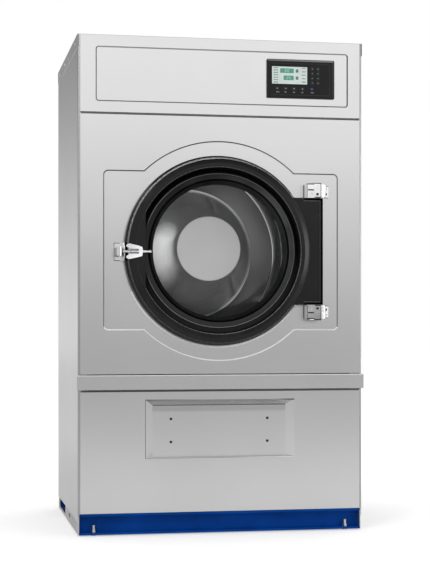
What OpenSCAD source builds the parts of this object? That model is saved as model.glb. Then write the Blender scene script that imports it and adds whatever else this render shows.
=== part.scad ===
// Industrial steam dryer: stainless cabinet on a blue channel base, round porthole door,
// perforated drum on a rear shaft, lint drawer below and a steam coil above.
// Millimetres. +Z is up and the front faces -Y. The origin is on the floor, in the middle of the
// overall length and width, so the hardware in front reaches as far as the pipework behind.

/* [Cabinet] */
// Width over the side panels
cabinet_w = 1130; // [1110:5:1200]
// Depth from the front panels to the rear panel
cabinet_d = 918; // [914:2:980]
// Sheet thickness of the panels
sheet = 1.5; // [1.2:0.1:2]
// Depth of the folded edge behind each front panel
fold_depth = 18; // [14:1:22]
// Outside radius of the side panels' front corners
corner_r = 7; // [4:0.5:8]
// Width of the strip that the side panels show at the front
hem_w = 9; // [9:0.5:12]
// Height of the top cover's side flange
cover_flange = 47; // [35:1:60]
// Seam between the front panel and the header
seam = 4; // [3:0.5:6]
// Gap between the base channel and the drawer front
drawer_gap = 2; // [1.5:0.5:4]
// Height of the header panel
header_h = 296; // [290:1:310]
// Height of the front panel that carries the door
front_panel_h = 1009; // [1006:1:1015]
// Height of the drawer front
drawer_front_h = 474; // [470:1:480]

/* [Front rail] */
// Height of the rail between the front panel and the drawer
rail_h = 57; // [56:1:62]
// Gap above and below the rail
rail_gap = 3; // [2:0.5:5]
// How far the rail stands in front of the panels
rail_proud = 12; // [8:1:16]
// How far each end of the rail reaches past the side panels
rail_over = 5; // [3:1:8]
// Thickness of the rail's sheet
rail_sheet = 2; // [1.5:0.1:2.5]

/* [Base] */
// Height of the base channels
channel_h = 80; // [78:1:84]
// Depth of the channels' flanges
channel_flange = 45; // [42:1:50]
// Thickness of the channels' webs
channel_wall = 6; // [5:0.5:7]
// Thickness of the channels' flanges
flange_wall = 8; // [6:0.5:9]
// Wall of the side rails
side_rail_wall = 4; // [3:0.5:6]
// Height of the side panels' lower edge above the floor
side_panel_low = 54; // [48:1:60]
// Length of the lifting pockets in the side rails
pocket_l = 290; // [240:5:300]
// Distance of the lifting pockets from the rear channel
pocket_from_rear = 8; // [4:1:20]
// Height of the lifting pockets' lower edge above the rails' underside
pocket_low = 12; // [8:1:16]
// Height of the lifting pockets
pocket_h = 38; // [30:1:50]
// Distance of the side slots behind the front panels
slot_depth = 381; // [300:1:440]
// Height of the side slots' middle above the rails' underside
slot_up = 32; // [26:1:44]
// Length of the side slots
slot_l = 60; // [40:1:80]
// Height of the side slots
slot_h = 14; // [10:1:16]
// Thickness of the floor plate
floor_sheet = 2; // [1.5:0.1:3]

/* [Levelling feet] */
// Distance of the jack bolts from the cabinet's side
jack_side = 63; // [55:1:85]
// Thread radius of the jack bolts
jack_r = 6; // [5:0.5:8]
// Height of the bolt head under the channel
jack_head_h = 4; // [3:0.5:8]
// Radius of the bolt head and nut over their corners
jack_hex_r = 10.4; // [9:0.1:13]
// Height of the lock nut
jack_nut_h = 10; // [8:0.5:13]
// Height of the stud above the floor
jack_stud_top = 40; // [34:1:60]
// Clearance between the stud and the nut or channel
jack_clearance = 0.3; // [0.1:0.1:0.8]

/* [Pressed fields] */
// Depth of the pressed fields in the header and front panel
field_depth = 2.5; // [1.5:0.1:4]
// Width of the header's pressed field
header_field_w = 1005; // [980:1:1020]
// Height of the header's pressed field
header_field_h = 213; // [200:1:220]
// Sideways offset of the header's pressed field
header_field_x = 6; // [-10:1:12]
// Distance from the header's lower edge to its pressed field
header_field_low = 41; // [30:1:50]
// Corner radius of the header's pressed field
header_field_r = 12; // [8:1:20]
// Width of the door field's rectangle
door_field_w = 935; // [900:1:950]
// Height of the door field's rectangle
door_field_h = 620; // [600:1:640]
// Corner radius of the door field's rectangle
door_field_r = 20; // [12:1:30]
// Radius of the door field's round part
door_field_round = 430; // [420:1:440]
// Sideways offset of the door field's round part
door_field_x = -10; // [-20:1:10]
// Sideways place of the upright rib in the door field
rib_x = -449; // [-456:1:-446]
// Height of the upright rib
rib_h = 543; // [500:1:560]
// Width of the upright rib
rib_w = 6; // [4:1:8]
// How far the upright rib stands out of the field
rib_proud = 2; // [1:0.5:3]

/* [Door] */
// Sideways place of the door's middle
door_x = -18; // [-24:1:-12]
// Height of the door's middle above the floor
door_z = 1103; // [1098:1:1108]
// Outer radius of the door ring
door_r = 370; // [366:1:374]
// Thickness of the door ring
door_t = 44; // [40:1:48]
// Radius at which the ring's front flat ends outside
ring_flat_r = 341; // [338:1:344]
// Width of the ring's front flat
ring_flat_w = 15; // [12:1:18]
// Distance of the latch pad's straight edge from the door's middle
pad_chord = 290; // [284:1:300]
// Radius of the clear view through the glass
view_r = 258; // [250:1:260]
// Radius of the glass
glass_r = 270; // [266:1:274]
// Thickness of the glass
glass_t = 6; // [5:0.5:8]
// Height of the hinge wing
wing_h = 420; // [400:1:440]
// Distance of the wing's edge from the hinge axis
wing_to_axis = 2; // [1:0.5:4]
// Width of the wing's raised rim
wing_rim = 11; // [8:1:14]
// Height of the wing's raised rim
wing_rim_h = 3; // [2:0.5:4]
// How far the wing's plate lies behind the ring's front flat
wing_sink = 9; // [6:0.5:12]
// Thickness of the door seal
seal_t = 3; // [2:0.5:4]
// Width of the door seal
seal_w = 14; // [10:1:14]
// Gap that the closed door leaves over its seal
seal_gap = 0.3; // [0.3:0.1:0.6]
// Width of each bite of rubber over the glass edge
gasket_bite = 8; // [6:0.5:9]
// Thickness of the rubber in front of and behind the glass
gasket_t = 3; // [2:0.5:4]

/* [Hinges] */
// Sideways place of the hinge axis
hinge_x = 398; // [396:1:402]
// Distance of the hinge axis in front of the panels
hinge_proud = 30; // [28:1:32]
// Radius of the hinge pin
pin_r = 5; // [4:0.5:6]
// Radius of the hinge barrels
barrel_r = 11; // [10:0.5:11]
// Height of each barrel half
barrel_h = 23; // [20:1:26]
// Radial clearance of the pin in the door's barrels
pin_clearance = 0.05; // [0.03:0.01:0.1]
// Gap between the barrel halves
barrel_gap = 0.5; // [0.3:0.1:1]
// Width of the hinge arm block
arm_w = 57; // [52:1:64]
// Height of the hinge arm block
arm_h = 62; // [54:1:70]
// Reach of the cabinet leaf right of the hinge axis
leaf_w = 30; // [28:1:40]
// Thickness of the cabinet leaf
leaf_t = 3; // [2:0.5:4]

/* [Latch] */
// Height of the latch above the door's middle
latch_up = -7; // [-12:1:0]
// Length of the latch jaws
jaw_l = 62; // [56:1:66]
// Opening of the jaws over their wide ends
jaw_wide = 60; // [54:1:64]
// Opening of the jaws over their narrow ends
jaw_narrow = 42; // [38:1:46]
// Height of one jaw at its wide end
jaw_h = 17; // [14:1:20]
// Thickness of the jaws
jaw_t = 12; // [9:1:14]
// Thickness of the latch base plate
latch_plate_t = 3; // [2:0.5:4]
// Radius of the latch bolt
bolt_r = 5; // [4:0.5:6]
// Radius of the bolt's pull tail
tail_r = 4; // [3:0.5:4.5]
// Travel of the latch bolt
bolt_travel = 14; // [8:1:14]
// Radial clearance of the bolt in its guides
bolt_clearance = 0.05; // [0.03:0.01:0.1]
// Radius of the keeper post
keeper_r = 11.2; // [9:0.1:13]
// Height of the keeper post
keeper_h = 34; // [28:1:40]
// Height of the keeper's fork plate
fork_h = 70; // [60:1:76]
// Thickness of the keeper's fork plate
fork_t = 4; // [3:0.5:5]
// Curls of the latch spring
spring_curls = 7; // [5:1:9]
// Wire radius of the latch spring
spring_wire = 0.9; // [0.7:0.1:1]

/* [Drum] */
// Sideways place of the drum axis
drum_x = -10; // [-14:1:-6]
// Height of the drum axis above the floor
drum_z = 1124; // [1120:1:1128]
// Outer radius of the drum
drum_r = 450; // [444:1:456]
// Length of the drum
drum_l = 650; // [640:2:652]
// Radius of the drum's hub cone at the back
cone_back_r = 280; // [270:1:300]
// Radius of the flat hub cap at the front of the cone
cap_r = 129; // [125:1:140]
// Distance of the hub cap behind the front panels
cap_depth = 240; // [220:2:280]
// Number of lifters
lifters = 4; // [3:1:6]
// Height of the lifters
lifter_h = 62; // [50:1:70]
// Width of a lifter's foot
lifter_w = 110; // [90:1:130]
// Inner radius of the neck between the door and the drum
neck_r = 305; // [303:1:306]
// Thickness of the felt between the neck and the drum
felt_t = 8.7; // [8:0.1:10]
// Gap between the felt and the drum's mouth
felt_gap = 0.3; // [0.3:0.1:0.6]
// Width of the felt
felt_w = 12; // [10:1:14]
// Gap around the drum inside its casing
casing_gap = 26; // [20:1:28]
// Distance of the casing's front wall behind the front panels
casing_front = 92; // [88:1:94]
// Distance from the casing's front wall to the drum
drum_front_gap = 16; // [14:1:18]

/* [Drive] */
// Radius of the drum shaft
shaft_r = 25; // [22:0.5:28]
// Radial clearance of the shafts in their bearings
shaft_clearance = 0.05; // [0.03:0.01:0.1]
// Outer radius of the bearings
bearing_r = 45; // [40:1:50]
// Width of a bearing
bearing_w = 18; // [14:1:20]
// Thickness of the rear bulkhead
bulkhead_t = 3; // [2:0.5:4]
// Length of the bearing housing
housing_l = 58; // [54:1:60]
// Radius of the drum pulley
drum_pulley_r = 330; // [300:1:340]
// Radius of the motor pulley
motor_pulley_r = 27.5; // [25:0.5:32]
// Width of the pulleys
pulley_w = 24; // [20:1:26]
// Thickness of the belt
belt_t = 4; // [3:0.5:5]
// Gap kept between the belt and the pulleys
belt_gap = 0.3; // [0.3:0.1:0.6]
// Sideways place of the motor shaft
motor_x = 450; // [440:1:460]
// Height of the motor shaft above the floor
motor_z = 700; // [692:1:710]
// Radius of the drive motor
motor_r = 66; // [60:1:76]
// Length of the drive motor
motor_l = 190; // [170:5:240]
// Radius of the motor shafts
motor_shaft_r = 9; // [8:0.5:11]

/* [Lint drawer] */
// Width of the lint tray
tray_w = 880; // [860:5:900]
// Depth of the lint tray, front to back
tray_d = 390; // [370:5:400]
// Height of the lint tray
tray_h = 230; // [200:5:250]
// Height of the tray's underside above the floor
tray_low = 180; // [170:1:190]
// Long bars of the lint screen
screen_bars = 24; // [12:1:30]
// Cross bars under the lint screen
screen_cross_bars = 3; // [2:1:6]
// Width of a screen bar
screen_bar = 3; // [2:0.5:4]
// Height of the drawer's slides
slide_h = 23; // [18:1:28]
// Sliding clearance of the drawer's runners
runner_clearance = 0.3; // [0.3:0.1:0.6]
// Width of the grip recess in the drawer front
recess_w = 592; // [560:1:610]
// Height of the grip recess
recess_h = 227; // [210:1:240]
// Depth of the grip recess
recess_depth = 23; // [16:1:26]
// Width of the recess's sloping sides
recess_side_slope = 31; // [20:1:40]
// Height of the recess's sloping top
recess_top_slope = 21; // [14:1:30]
// Sideways place of the recess
recess_x = -7; // [-15:1:15]
// Height of the recess's middle above the floor
recess_z = 409; // [400:1:412]
// Width between the plate holes in the recess
plate_hole_dx = 385; // [360:1:400]
// Height between the plate holes in the recess
plate_hole_dz = 90; // [80:1:100]
// Radius of the plate holes
plate_hole_r = 3.5; // [2.5:0.5:5]

/* [Fan] */
// Radius of the fan's scroll
scroll_r = 200; // [190:1:204]
// Width of the fan housing
scroll_w = 200; // [190:2:206]
// Height of the fan axis above the floor
fan_z = 330; // [320:1:336]
// Distance of the fan axis behind the front panels
fan_depth = 660; // [654:1:666]
// Radius of the impeller
impeller_r = 150; // [130:1:165]
// Width of the impeller
impeller_w = 110; // [90:1:130]
// Number of impeller blades
blades = 16; // [8:1:24]
// Radius of the fan's inlet
fan_inlet_r = 105; // [80:1:110]
// Outer radius of the exhaust collar
exhaust_r = 99.5; // [90:0.5:99.5]
// Radius of the fan motor
fan_motor_r = 70; // [62:1:80]
// Length of the fan motor
fan_motor_l = 200; // [180:5:250]

/* [Steam] */
// Width of the coil's fin pack
coil_w = 500; // [460:5:520]
// Depth of the coil's fin pack, front to back
coil_d = 420; // [400:5:440]
// Height of the coil's fin pack
coil_h = 120; // [110:1:130]
// Sideways place of the coil
coil_x = -120; // [-130:1:-110]
// Distance of the coil's front behind the front panels
coil_depth = 230; // [220:2:240]
// Number of fins
fins = 26; // [10:1:40]
// Thickness of a fin
fin_t = 0.8; // [0.5:0.1:1.2]
// Columns of tubes in the coil, an even number
tube_columns = 6; // [2:2:6]
// Radius of the steam tubes
tube_r = 11; // [9:0.5:12]
// Wall of the steam tubes
tube_wall = 1.5; // [1:0.1:2]
// Sideways distance between the steam and condensate pipes
pipe_spacing = 130; // [115:1:150]
// How far the pipes and the exhaust reach behind the cabinet
pipe_reach = 65; // [60:1:80]
// Radius of the pipe flanges
flange_r = 52; // [48:1:56]
// Thickness of the pipe flanges
flange_t = 14; // [10:1:18]
// Bolt circle radius of the pipe flanges
flange_bolts_r = 37.5; // [34:0.5:40]
// Radius of the flanges' bolt holes
flange_hole_r = 7; // [5:0.5:8]

/* [Control panel] */
// Width of the control bezel
bezel_w = 274; // [260:1:290]
// Height of the control bezel
bezel_h = 153; // [146:1:156]
// How far the bezel stands in front of the pressed field
bezel_proud = 7; // [5:0.5:9]
// Sideways place of the bezel
bezel_x = 315; // [300:1:325]
// Height of the bezel's middle above the header's lower edge
bezel_up = 148.5; // [144:0.5:150]
// Width of the display
lcd_w = 142; // [120:1:150]
// Height of the display
lcd_h = 68; // [60:1:74]
// Distance of the display's middle left of the bezel's middle
lcd_left = 45; // [40:1:50]
// Distance of the display's middle above the bezel's middle
lcd_up = 13.5; // [10:0.5:18]

/* [Openings in the rear] */
// Width of the air intake
intake_w = 520; // [480:5:560]
// Height of the air intake
intake_h = 150; // [120:5:160]
// Slats in the air intake
intake_slats = 9; // [5:1:11]
// Cable radius that the gland takes
cable_r = 8; // [6:0.5:10]

/* [Hidden] */

$fn = 96;

// Colours
steel = [0.80, 0.80, 0.80];
blue = [0.00, 0.22, 0.52];
black = [0.07, 0.07, 0.08];
chrome = [0.90, 0.90, 0.92];
zinc = [0.70, 0.70, 0.68];
rubber = [0.12, 0.12, 0.12];

// Gap that keeps touching pieces of different bodies apart
clear = 0.3;
// Length by which a cut runs past the face it starts from
past = 1;

// Depth places are counted from the front face of the panels
front_y = -cabinet_d / 2;
rear_y = cabinet_d / 2;
half_w = cabinet_w / 2;
jack_x = half_w - jack_side;

// Heights from the floor up
channel_low = jack_head_h;
channel_top = channel_low + channel_h;
drawer_low = channel_top + drawer_gap;
drawer_top = drawer_low + drawer_front_h;
rail_low = drawer_top + rail_gap;
rail_top = rail_low + rail_h;
panel_low = rail_top + rail_gap;
panel_top = panel_low + front_panel_h;
header_low = panel_top + seam;
header_top = header_low + header_h;
cabinet_top = header_top + sheet;

// Frame of channel and angle
tube = 40;
tube_thick = 2;
post_in = half_w - sheet;
frame_front = front_y + fold_depth + 4;
frame_rear = rear_y - 2 * sheet;
ring_low = rail_low + 6;
ring_high = panel_top - tube / 2;
frame_top = header_top - clear;

// Front panels
panel_half = half_w - hem_w;
header_field_z = header_low + header_field_low + header_field_h / 2;
bezel_z = header_low + bezel_up;
lcd_x = bezel_x - lcd_left;
lcd_z = bezel_z + lcd_up;

// Door, counted from the pressed field behind it
field_y = front_y + field_depth;
door_back = field_y - seal_t - seal_gap;
door_front = door_back - door_t;
glass_front = door_back - 3;
glass_back = glass_front + glass_t;
gasket_r = glass_r + gasket_t;
gasket_front = glass_front - gasket_t;
gasket_back = glass_back + gasket_t;
clamp_flange_r = gasket_r + 15;
seal_r = neck_r + 27;
wing_right = hinge_x - wing_to_axis;

// Hinges
hinge_y = front_y - hinge_proud;
arm_right = hinge_x - barrel_r - 1;
barrel_start = wing_h / 2 + 5;

// Latch
latch_z = door_z + latch_up;
latch_left = door_x - door_r;
bolt_y = door_front - latch_plate_t - jaw_t / 2;
fork_x = latch_left - fork_t - 3;
bolt_tip = fork_x - 3;
keeper_x = bolt_tip - 2 - keeper_r;
jaw_left = latch_left + 4;
nose_x = jaw_left + jaw_l;
nose_l = 14;
tail_end = door_x - view_r - 12;

// Latch spring, a helix between the bolt's collar and the jaws' nose
collar_x = jaw_left + 12;
spring_sides = 6;
spring_steps = 8 * spring_curls;
spring_from = collar_x + clear + spring_wire;
spring_to = nose_x - nose_l - clear - spring_wire;
spring_r = bolt_r + 2 * clear + spring_wire;
spring_out = spring_r + spring_wire;
spring_pitch = (spring_to - spring_from) / spring_curls;

// Drum and casing
casing_r = drum_r + casing_gap;
drum_front = front_y + casing_front + drum_front_gap;
drum_rear = drum_front + drum_l;
mouth_r = neck_r + sheet + felt_t + felt_gap;
casing_front_y = front_y + casing_front;
casing_rear_y = drum_rear + 40;
bulkhead_y = casing_rear_y;
housing_y = bulkhead_y + bulkhead_t;
pulley_y = housing_y + housing_l + 7;
cap_y = front_y + cap_depth;

// Drive
motor_dx = motor_x - drum_x;
motor_dz = motor_z - drum_z;
pulley_gap = sqrt(motor_dx * motor_dx + motor_dz * motor_dz);
belt_angle = atan2(motor_dz, motor_dx);
belt_spread = acos((drum_pulley_r - motor_pulley_r) / pulley_gap);

// Lint drawer
chamber_low = channel_top + floor_sheet;
chamber_half = tray_w / 2 + 42;
chamber_front = frame_front;
chamber_rear = front_y + fold_depth + tray_d + 20;
tray_front = front_y + fold_depth;
tray_rear = tray_front + tray_d;
runner_z = tray_low + tray_h / 2;
runner_web = 3;

// Fan
fan_y = front_y + fan_depth;
scroll_low = fan_z - scroll_r;
outlet_top = fan_z;
exhaust_z = (scroll_low + outlet_top) / 2;
outlet_rear = rear_y - 2 * sheet;

// Steam coil
coil_low = ring_high + tube + 2 * sheet;
coil_front = front_y + coil_depth;
tube_rows = 2;
tube_pitch_y = coil_d / tube_columns;
tube_pitch_z = coil_h / tube_rows;
flange_rear = rear_y + pipe_reach;
steam_x = coil_x + coil_w / 2 + 60;
steam_z = coil_low + 0.75 * coil_h;
condensate_z = coil_low + 0.25 * coil_h;
condensate_x = steam_x + pipe_spacing;
last_tube_y = coil_front + (tube_columns - 0.5) * tube_pitch_y;
tube_reach = 14;

// Rear openings
intake_x = -120;
intake_z = header_top - 45 - intake_h / 2;
gland_x = 400;
gland_z = intake_z;

// Shapes used by more than one piece

module box(x, y, z) {
  // A block between two corners, given as [low, high] along each axis
  translate([x[0], y[0], z[0]])
    cube([x[1] - x[0], y[1] - y[0], z[1] - z[0]]);
}

module rod_y(x, z, y, r) {
  // A round bar along Y between y[0] and y[1]
  translate([x, y[1], z])
    rotate([90, 0, 0])
      cylinder(h = y[1] - y[0], r = r);
}

module rod_x(y, z, x, r) {
  // A round bar along X between x[0] and x[1]
  translate([x[0], y, z])
    rotate([0, 90, 0])
      cylinder(h = x[1] - x[0], r = r);
}

module rod_z(x, y, z, r) {
  // A round bar along Z between z[0] and z[1]
  translate([x, y, z[0]])
    cylinder(h = z[1] - z[0], r = r);
}

module tube_y(x, z, y, r_out, r_in) {
  // A round tube along Y
  difference() {
    rod_y(x, z, y, r_out);
    rod_y(x, z, [y[0] - past, y[1] + past], r_in);
  }
}

module turned_y(x, z, profile) {
  // A body of revolution about an axis along Y, from points of [radius, y]
  translate([x, 0, z])
    rotate([90, 0, 0])
      rotate_extrude($fn = 180)
        polygon([for (p = profile) [p[0], -p[1]]]);
}

module plate_y(y) {
  // A flat outline in X and Z given depth along Y
  translate([0, y[1], 0])
    rotate([90, 0, 0])
      linear_extrude(height = y[1] - y[0])
        children();
}

module plate_x(x) {
  // A flat outline in Y and Z given width along X
  translate([x[0], 0, 0])
    rotate([90, 0, 90])
      linear_extrude(height = x[1] - x[0])
        children();
}

module rounded(x, z, w, h, r) {
  // A rectangle with round corners about a middle point
  translate([x - w / 2 + r, z - h / 2])
    square([w - 2 * r, h]);
  translate([x - w / 2, z - h / 2 + r])
    square([w, h - 2 * r]);
  for (i = [-1, 1], j = [-1, 1])
    translate([x + i * (w / 2 - r), z + j * (h / 2 - r)])
      circle(r = r, $fn = 48);
}

module pan(x, z) {
  // A panel with its four edges folded back
  difference() {
    box(x, [front_y, front_y + fold_depth], z);
    box(
      [x[0] + sheet, x[1] - sheet],
      [front_y + sheet, front_y + fold_depth + past],
      [z[0] + sheet, z[1] - sheet]
    );
  }
}

// Base

module channel(y, opens_back) {
  // A rolled channel across the cabinet, open to the front or to the back
  inner = opens_back ? [y[0] + channel_wall, y[1] + past] : [y[0] - past, y[1] - channel_wall];
  difference() {
    box([-channel_half, channel_half], y, [channel_low, channel_top]);
    box(
      [-half_w, half_w],
      inner,
      [channel_low + flange_wall, channel_top - flange_wall]
    );
    for (side = [-1, 1])
      rod_z(
        side * jack_x,
        opens_back ? rear_y - jack_in : front_y + jack_in,
        [channel_low - past, channel_low + flange_wall + past],
        jack_r + jack_clearance
      );
  }
}

// Distance of the jack bolts behind the channels' open edges
jack_in = channel_flange / 2;
// The channels end between the walls of the side rails
channel_half = post_in - side_rail_wall - 2 * clear;

module base_front_channel() {
  color(blue)
    channel([front_y + 1, front_y + channel_flange], false);
}

module base_rear_channel() {
  color(blue)
    channel([rear_y - channel_flange, rear_y - 1], true);
}

module base_side_rails() {
  outer = post_in - clear;
  rail_y = [front_y + channel_flange, rear_y - channel_flange];
  color(zinc)
    for (side = [0, 1])
      mirror([side, 0, 0])
        difference() {
          union() {
            box([outer - tube, outer], rail_y, [channel_low, channel_top]);
            box(
              [outer - side_rail_wall, outer],
              [front_y + corner_r, rear_y - corner_r],
              [channel_low, channel_top]
            );
          }
          box(
            [outer - tube - past, outer - side_rail_wall],
            [rail_y[0] - past, rail_y[1] + past],
            [channel_low + side_rail_wall, channel_top - side_rail_wall]
          );
          box(
            [outer - side_rail_wall - past, outer + past],
            [rail_y[1] - pocket_from_rear - pocket_l, rail_y[1] - pocket_from_rear],
            [channel_low + pocket_low, channel_low + pocket_low + pocket_h]
          );
          plate_x([outer - side_rail_wall - past, outer + past])
            rounded(front_y + slot_depth, channel_low + slot_up, slot_l, slot_h, slot_h / 2.1);
        }
}

module floor_plate() {
  color(zinc)
    box(
      [-panel_half, panel_half],
      [frame_front, frame_rear],
      [channel_top, chamber_low]
    );
}

module jack_screws() {
  nut_low = channel_low + flange_wall;
  color(chrome)
    for (side = [-1, 1], y = [front_y + jack_in, rear_y - jack_in])
      translate([side * jack_x, y, 0]) {
        cylinder(h = jack_head_h, r = jack_hex_r, $fn = 6);
        cylinder(h = jack_stud_top, r = jack_r, $fn = 48);
        translate([0, 0, nut_low])
          difference() {
            cylinder(h = jack_nut_h, r = jack_hex_r, $fn = 6);
            translate([0, 0, -past])
              cylinder(h = jack_nut_h + 2 * past, r = jack_r + jack_clearance, $fn = 48);
          }
      }
}

// Frame and panels

module frame() {
  // Four corner posts of angle, joined by two rings of channel that open inwards
  post_z = [chamber_low, frame_top];
  color(zinc) {
    for (side = [0, 1], back = [0, 1])
      mirror([side, 0, 0])
        translate([post_in - tube, back ? frame_rear - tube : frame_front, post_z[0]])
          difference() {
            cube([tube, tube, post_z[1] - post_z[0]]);
            translate([-past, back ? -past : tube_thick, -past])
              cube([
                tube - tube_thick + past,
                tube - tube_thick + past,
                post_z[1] - post_z[0] + 2 * past
              ]);
          }
    for (z = [ring_low, ring_high])
      difference() {
        box([-post_in, post_in], [frame_front, frame_rear], [z, z + tube]);
        box(
          [-post_in + tube, post_in - tube],
          [frame_front + tube, frame_rear - tube],
          [z - past, z + tube + past]
        );
        box(
          [-post_in + tube_thick, post_in - tube_thick],
          [frame_front + tube_thick, frame_rear - tube_thick],
          [z + tube_thick, z + tube - tube_thick]
        );
      }
  }
}

module side_profile() {
  // Plan of the right-hand side panel: long wall, round front corner, hem and rear fold
  long = [front_y + corner_r, rear_y];
  translate([half_w - sheet, long[0]])
    square([sheet, long[1] - long[0]]);
  intersection() {
    translate([half_w - corner_r, front_y + corner_r])
      difference() {
        circle(r = corner_r, $fn = 64);
        circle(r = corner_r - sheet, $fn = 64);
      }
    translate([half_w - corner_r, front_y])
      square([corner_r, corner_r]);
  }
  translate([panel_half + clear, front_y])
    square([half_w - corner_r - panel_half - clear, sheet]);
  translate([panel_half + clear, front_y])
    square([sheet, fold_depth]);
  translate([half_w - tube / 2, rear_y - sheet])
    square([tube / 2, sheet]);
}

module side_panel() {
  // Below the channels' top only the long wall runs down, over the side rails
  folds_low = channel_top + clear;
  color(steel) {
    translate([0, 0, folds_low])
      linear_extrude(height = header_top - folds_low)
        side_profile();
    box([half_w - sheet, half_w], [front_y + corner_r, rear_y], [side_panel_low, folds_low + past]);
  }
}

module left_side_panel() {
  mirror([1, 0, 0])
    side_panel();
}

module right_side_panel() {
  side_panel();
}

module top_cover() {
  over = half_w + sheet;
  rear = rear_y + sheet;
  color(steel)
    difference() {
      box([-over, over], [front_y, rear], [header_top - cover_flange, cabinet_top]);
      box(
        [-half_w, half_w],
        [front_y - past, rear_y],
        [header_top - cover_flange - past, header_top]
      );
    }
}

module rear_panel() {
  color(steel)
    difference() {
      box(
        [-post_in + clear, post_in - clear],
        [rear_y - 2 * sheet, rear_y - sheet],
        [channel_top, header_top]
      );
      for (i = [0 : intake_slats - 1])
        plate_y([rear_y - 3 * sheet, rear_y])
          rounded(
            intake_x,
            intake_z + (i - (intake_slats - 1) / 2) * intake_h / intake_slats,
            intake_w,
            0.45 * intake_h / intake_slats,
            0.2 * intake_h / intake_slats
          );
      rod_y(0, exhaust_z, [rear_y - 3 * sheet, rear_y], exhaust_r + clear);
      rod_y(steam_x, steam_z, [rear_y - 3 * sheet, rear_y], tube_r + 3);
      rod_y(condensate_x, condensate_z, [rear_y - 3 * sheet, rear_y], tube_r + 3);
      rod_y(gland_x, gland_z, [rear_y - 3 * sheet, rear_y], cable_r + 4);
    }
}

module header_panel() {
  color(steel)
    difference() {
      union() {
        pan([-panel_half, panel_half], [header_low, header_top]);
        plate_y([front_y, field_y + sheet])
          rounded(
            header_field_x, header_field_z,
            header_field_w + 2 * sheet, header_field_h + 2 * sheet,
            header_field_r + sheet
          );
      }
      plate_y([front_y - past, field_y])
        rounded(
          header_field_x, header_field_z,
          header_field_w, header_field_h, header_field_r
        );
      plate_y([front_y, field_y + 2 * sheet])
        rounded(bezel_x, bezel_z, bezel_w - 20, bezel_h - 20, 4);
    }
}

module door_field(grow) {
  // Outline of the pressed field round the door: a rectangle with a larger circle
  rounded(0, door_z, door_field_w + 2 * grow, door_field_h + 2 * grow, door_field_r + grow);
  translate([door_field_x, door_z])
    circle(r = door_field_round + grow, $fn = 240);
}

module front_panel() {
  color(steel)
    difference() {
      union() {
        pan([-panel_half, panel_half], [panel_low, panel_top]);
        plate_y([front_y, field_y + sheet])
          door_field(sheet);
      }
      plate_y([front_y - past, field_y])
        difference() {
          door_field(0);
          rounded(rib_x, door_z - 5, rib_w, rib_h, rib_w / 2.1);
        }
      plate_y([front_y - past, field_y - rib_proud])
        door_field(0);
      rod_y(drum_x, drum_z, [front_y - past, front_y + fold_depth], neck_r + sheet + clear);
    }
}

module front_rail() {
  wide = half_w + rail_over;
  front = front_y - rail_proud;
  color(steel) {
    difference() {
      box([-wide, wide], [front, front_y - clear], [rail_low, rail_top]);
      box(
        [-wide + rail_sheet, wide - rail_sheet],
        [front + rail_sheet, front_y],
        [rail_low + rail_sheet, rail_top - rail_sheet]
      );
    }
    difference() {
      box(
        [-panel_half, panel_half],
        [front + rail_sheet, frame_front],
        [rail_low, rail_top]
      );
      box(
        [-panel_half - past, panel_half + past],
        [front, frame_front + past],
        [rail_low + rail_sheet, rail_top - rail_sheet]
      );
    }
  }
}

// Drum surroundings

module rear_bulkhead() {
  color(zinc)
    difference() {
      box(
        [-post_in + tube_thick, post_in - tube_thick],
        [bulkhead_y, housing_y],
        [ring_low + tube, ring_high]
      );
      rod_y(drum_x, drum_z, [bulkhead_y - past, housing_y + past], bearing_r + 1);
      rod_y(motor_x, motor_z, [bulkhead_y - past, housing_y + past], motor_shaft_r + 6);
    }
}

module front_neck() {
  end = drum_front + 2;
  color(steel)
    turned_y(drum_x, drum_z, [
      [neck_r, field_y + sheet],
      [neck_r + 20, field_y + sheet],
      [neck_r + 20, field_y + 2 * sheet],
      [neck_r + sheet, field_y + 2 * sheet],
      [neck_r + sheet, end],
      [neck_r, end]
    ]);
}

module neck_felt() {
  color([0.35, 0.33, 0.30])
    tube_y(
      drum_x, drum_z,
      [drum_front - felt_w + 1, drum_front + 1],
      neck_r + sheet + felt_t, neck_r + sheet
    );
}

module casing_port(z) {
  // Cut for the air through the casing's wall, above or below the drum
  box(
    z > drum_z ? [coil_x - 180, coil_x + 180] : [drum_x - 200, drum_x + 200],
    z > drum_z ? [coil_front + 40, coil_front + coil_d - 40] : [chamber_front + 130, chamber_rear - 30],
    z > drum_z ? [drum_z, z] : [z, drum_z]
  );
}

module drum_casing() {
  color(zinc)
    difference() {
      turned_y(drum_x, drum_z, [
        [neck_r + sheet, casing_front_y],
        [casing_r + sheet, casing_front_y],
        [casing_r + sheet, casing_rear_y],
        [bearing_r + 1, casing_rear_y],
        [bearing_r + 1, casing_rear_y - sheet],
        [casing_r, casing_rear_y - sheet],
        [casing_r, casing_front_y + sheet],
        [neck_r + sheet, casing_front_y + sheet]
      ]);
      casing_port(drum_z + 2 * drum_r);
      casing_port(drum_z - 2 * drum_r);
    }
}

module duct(x, y, z) {
  // A square sheet duct that ends against the round casing
  difference() {
    box([x[0] - sheet, x[1] + sheet], [y[0] - sheet, y[1] + sheet], z);
    box(x, y, [z[0] - past, z[1] + past]);
    rod_y(drum_x, drum_z, [y[0] - 2 * sheet, y[1] + 2 * sheet], casing_r + sheet + clear);
  }
}

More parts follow.
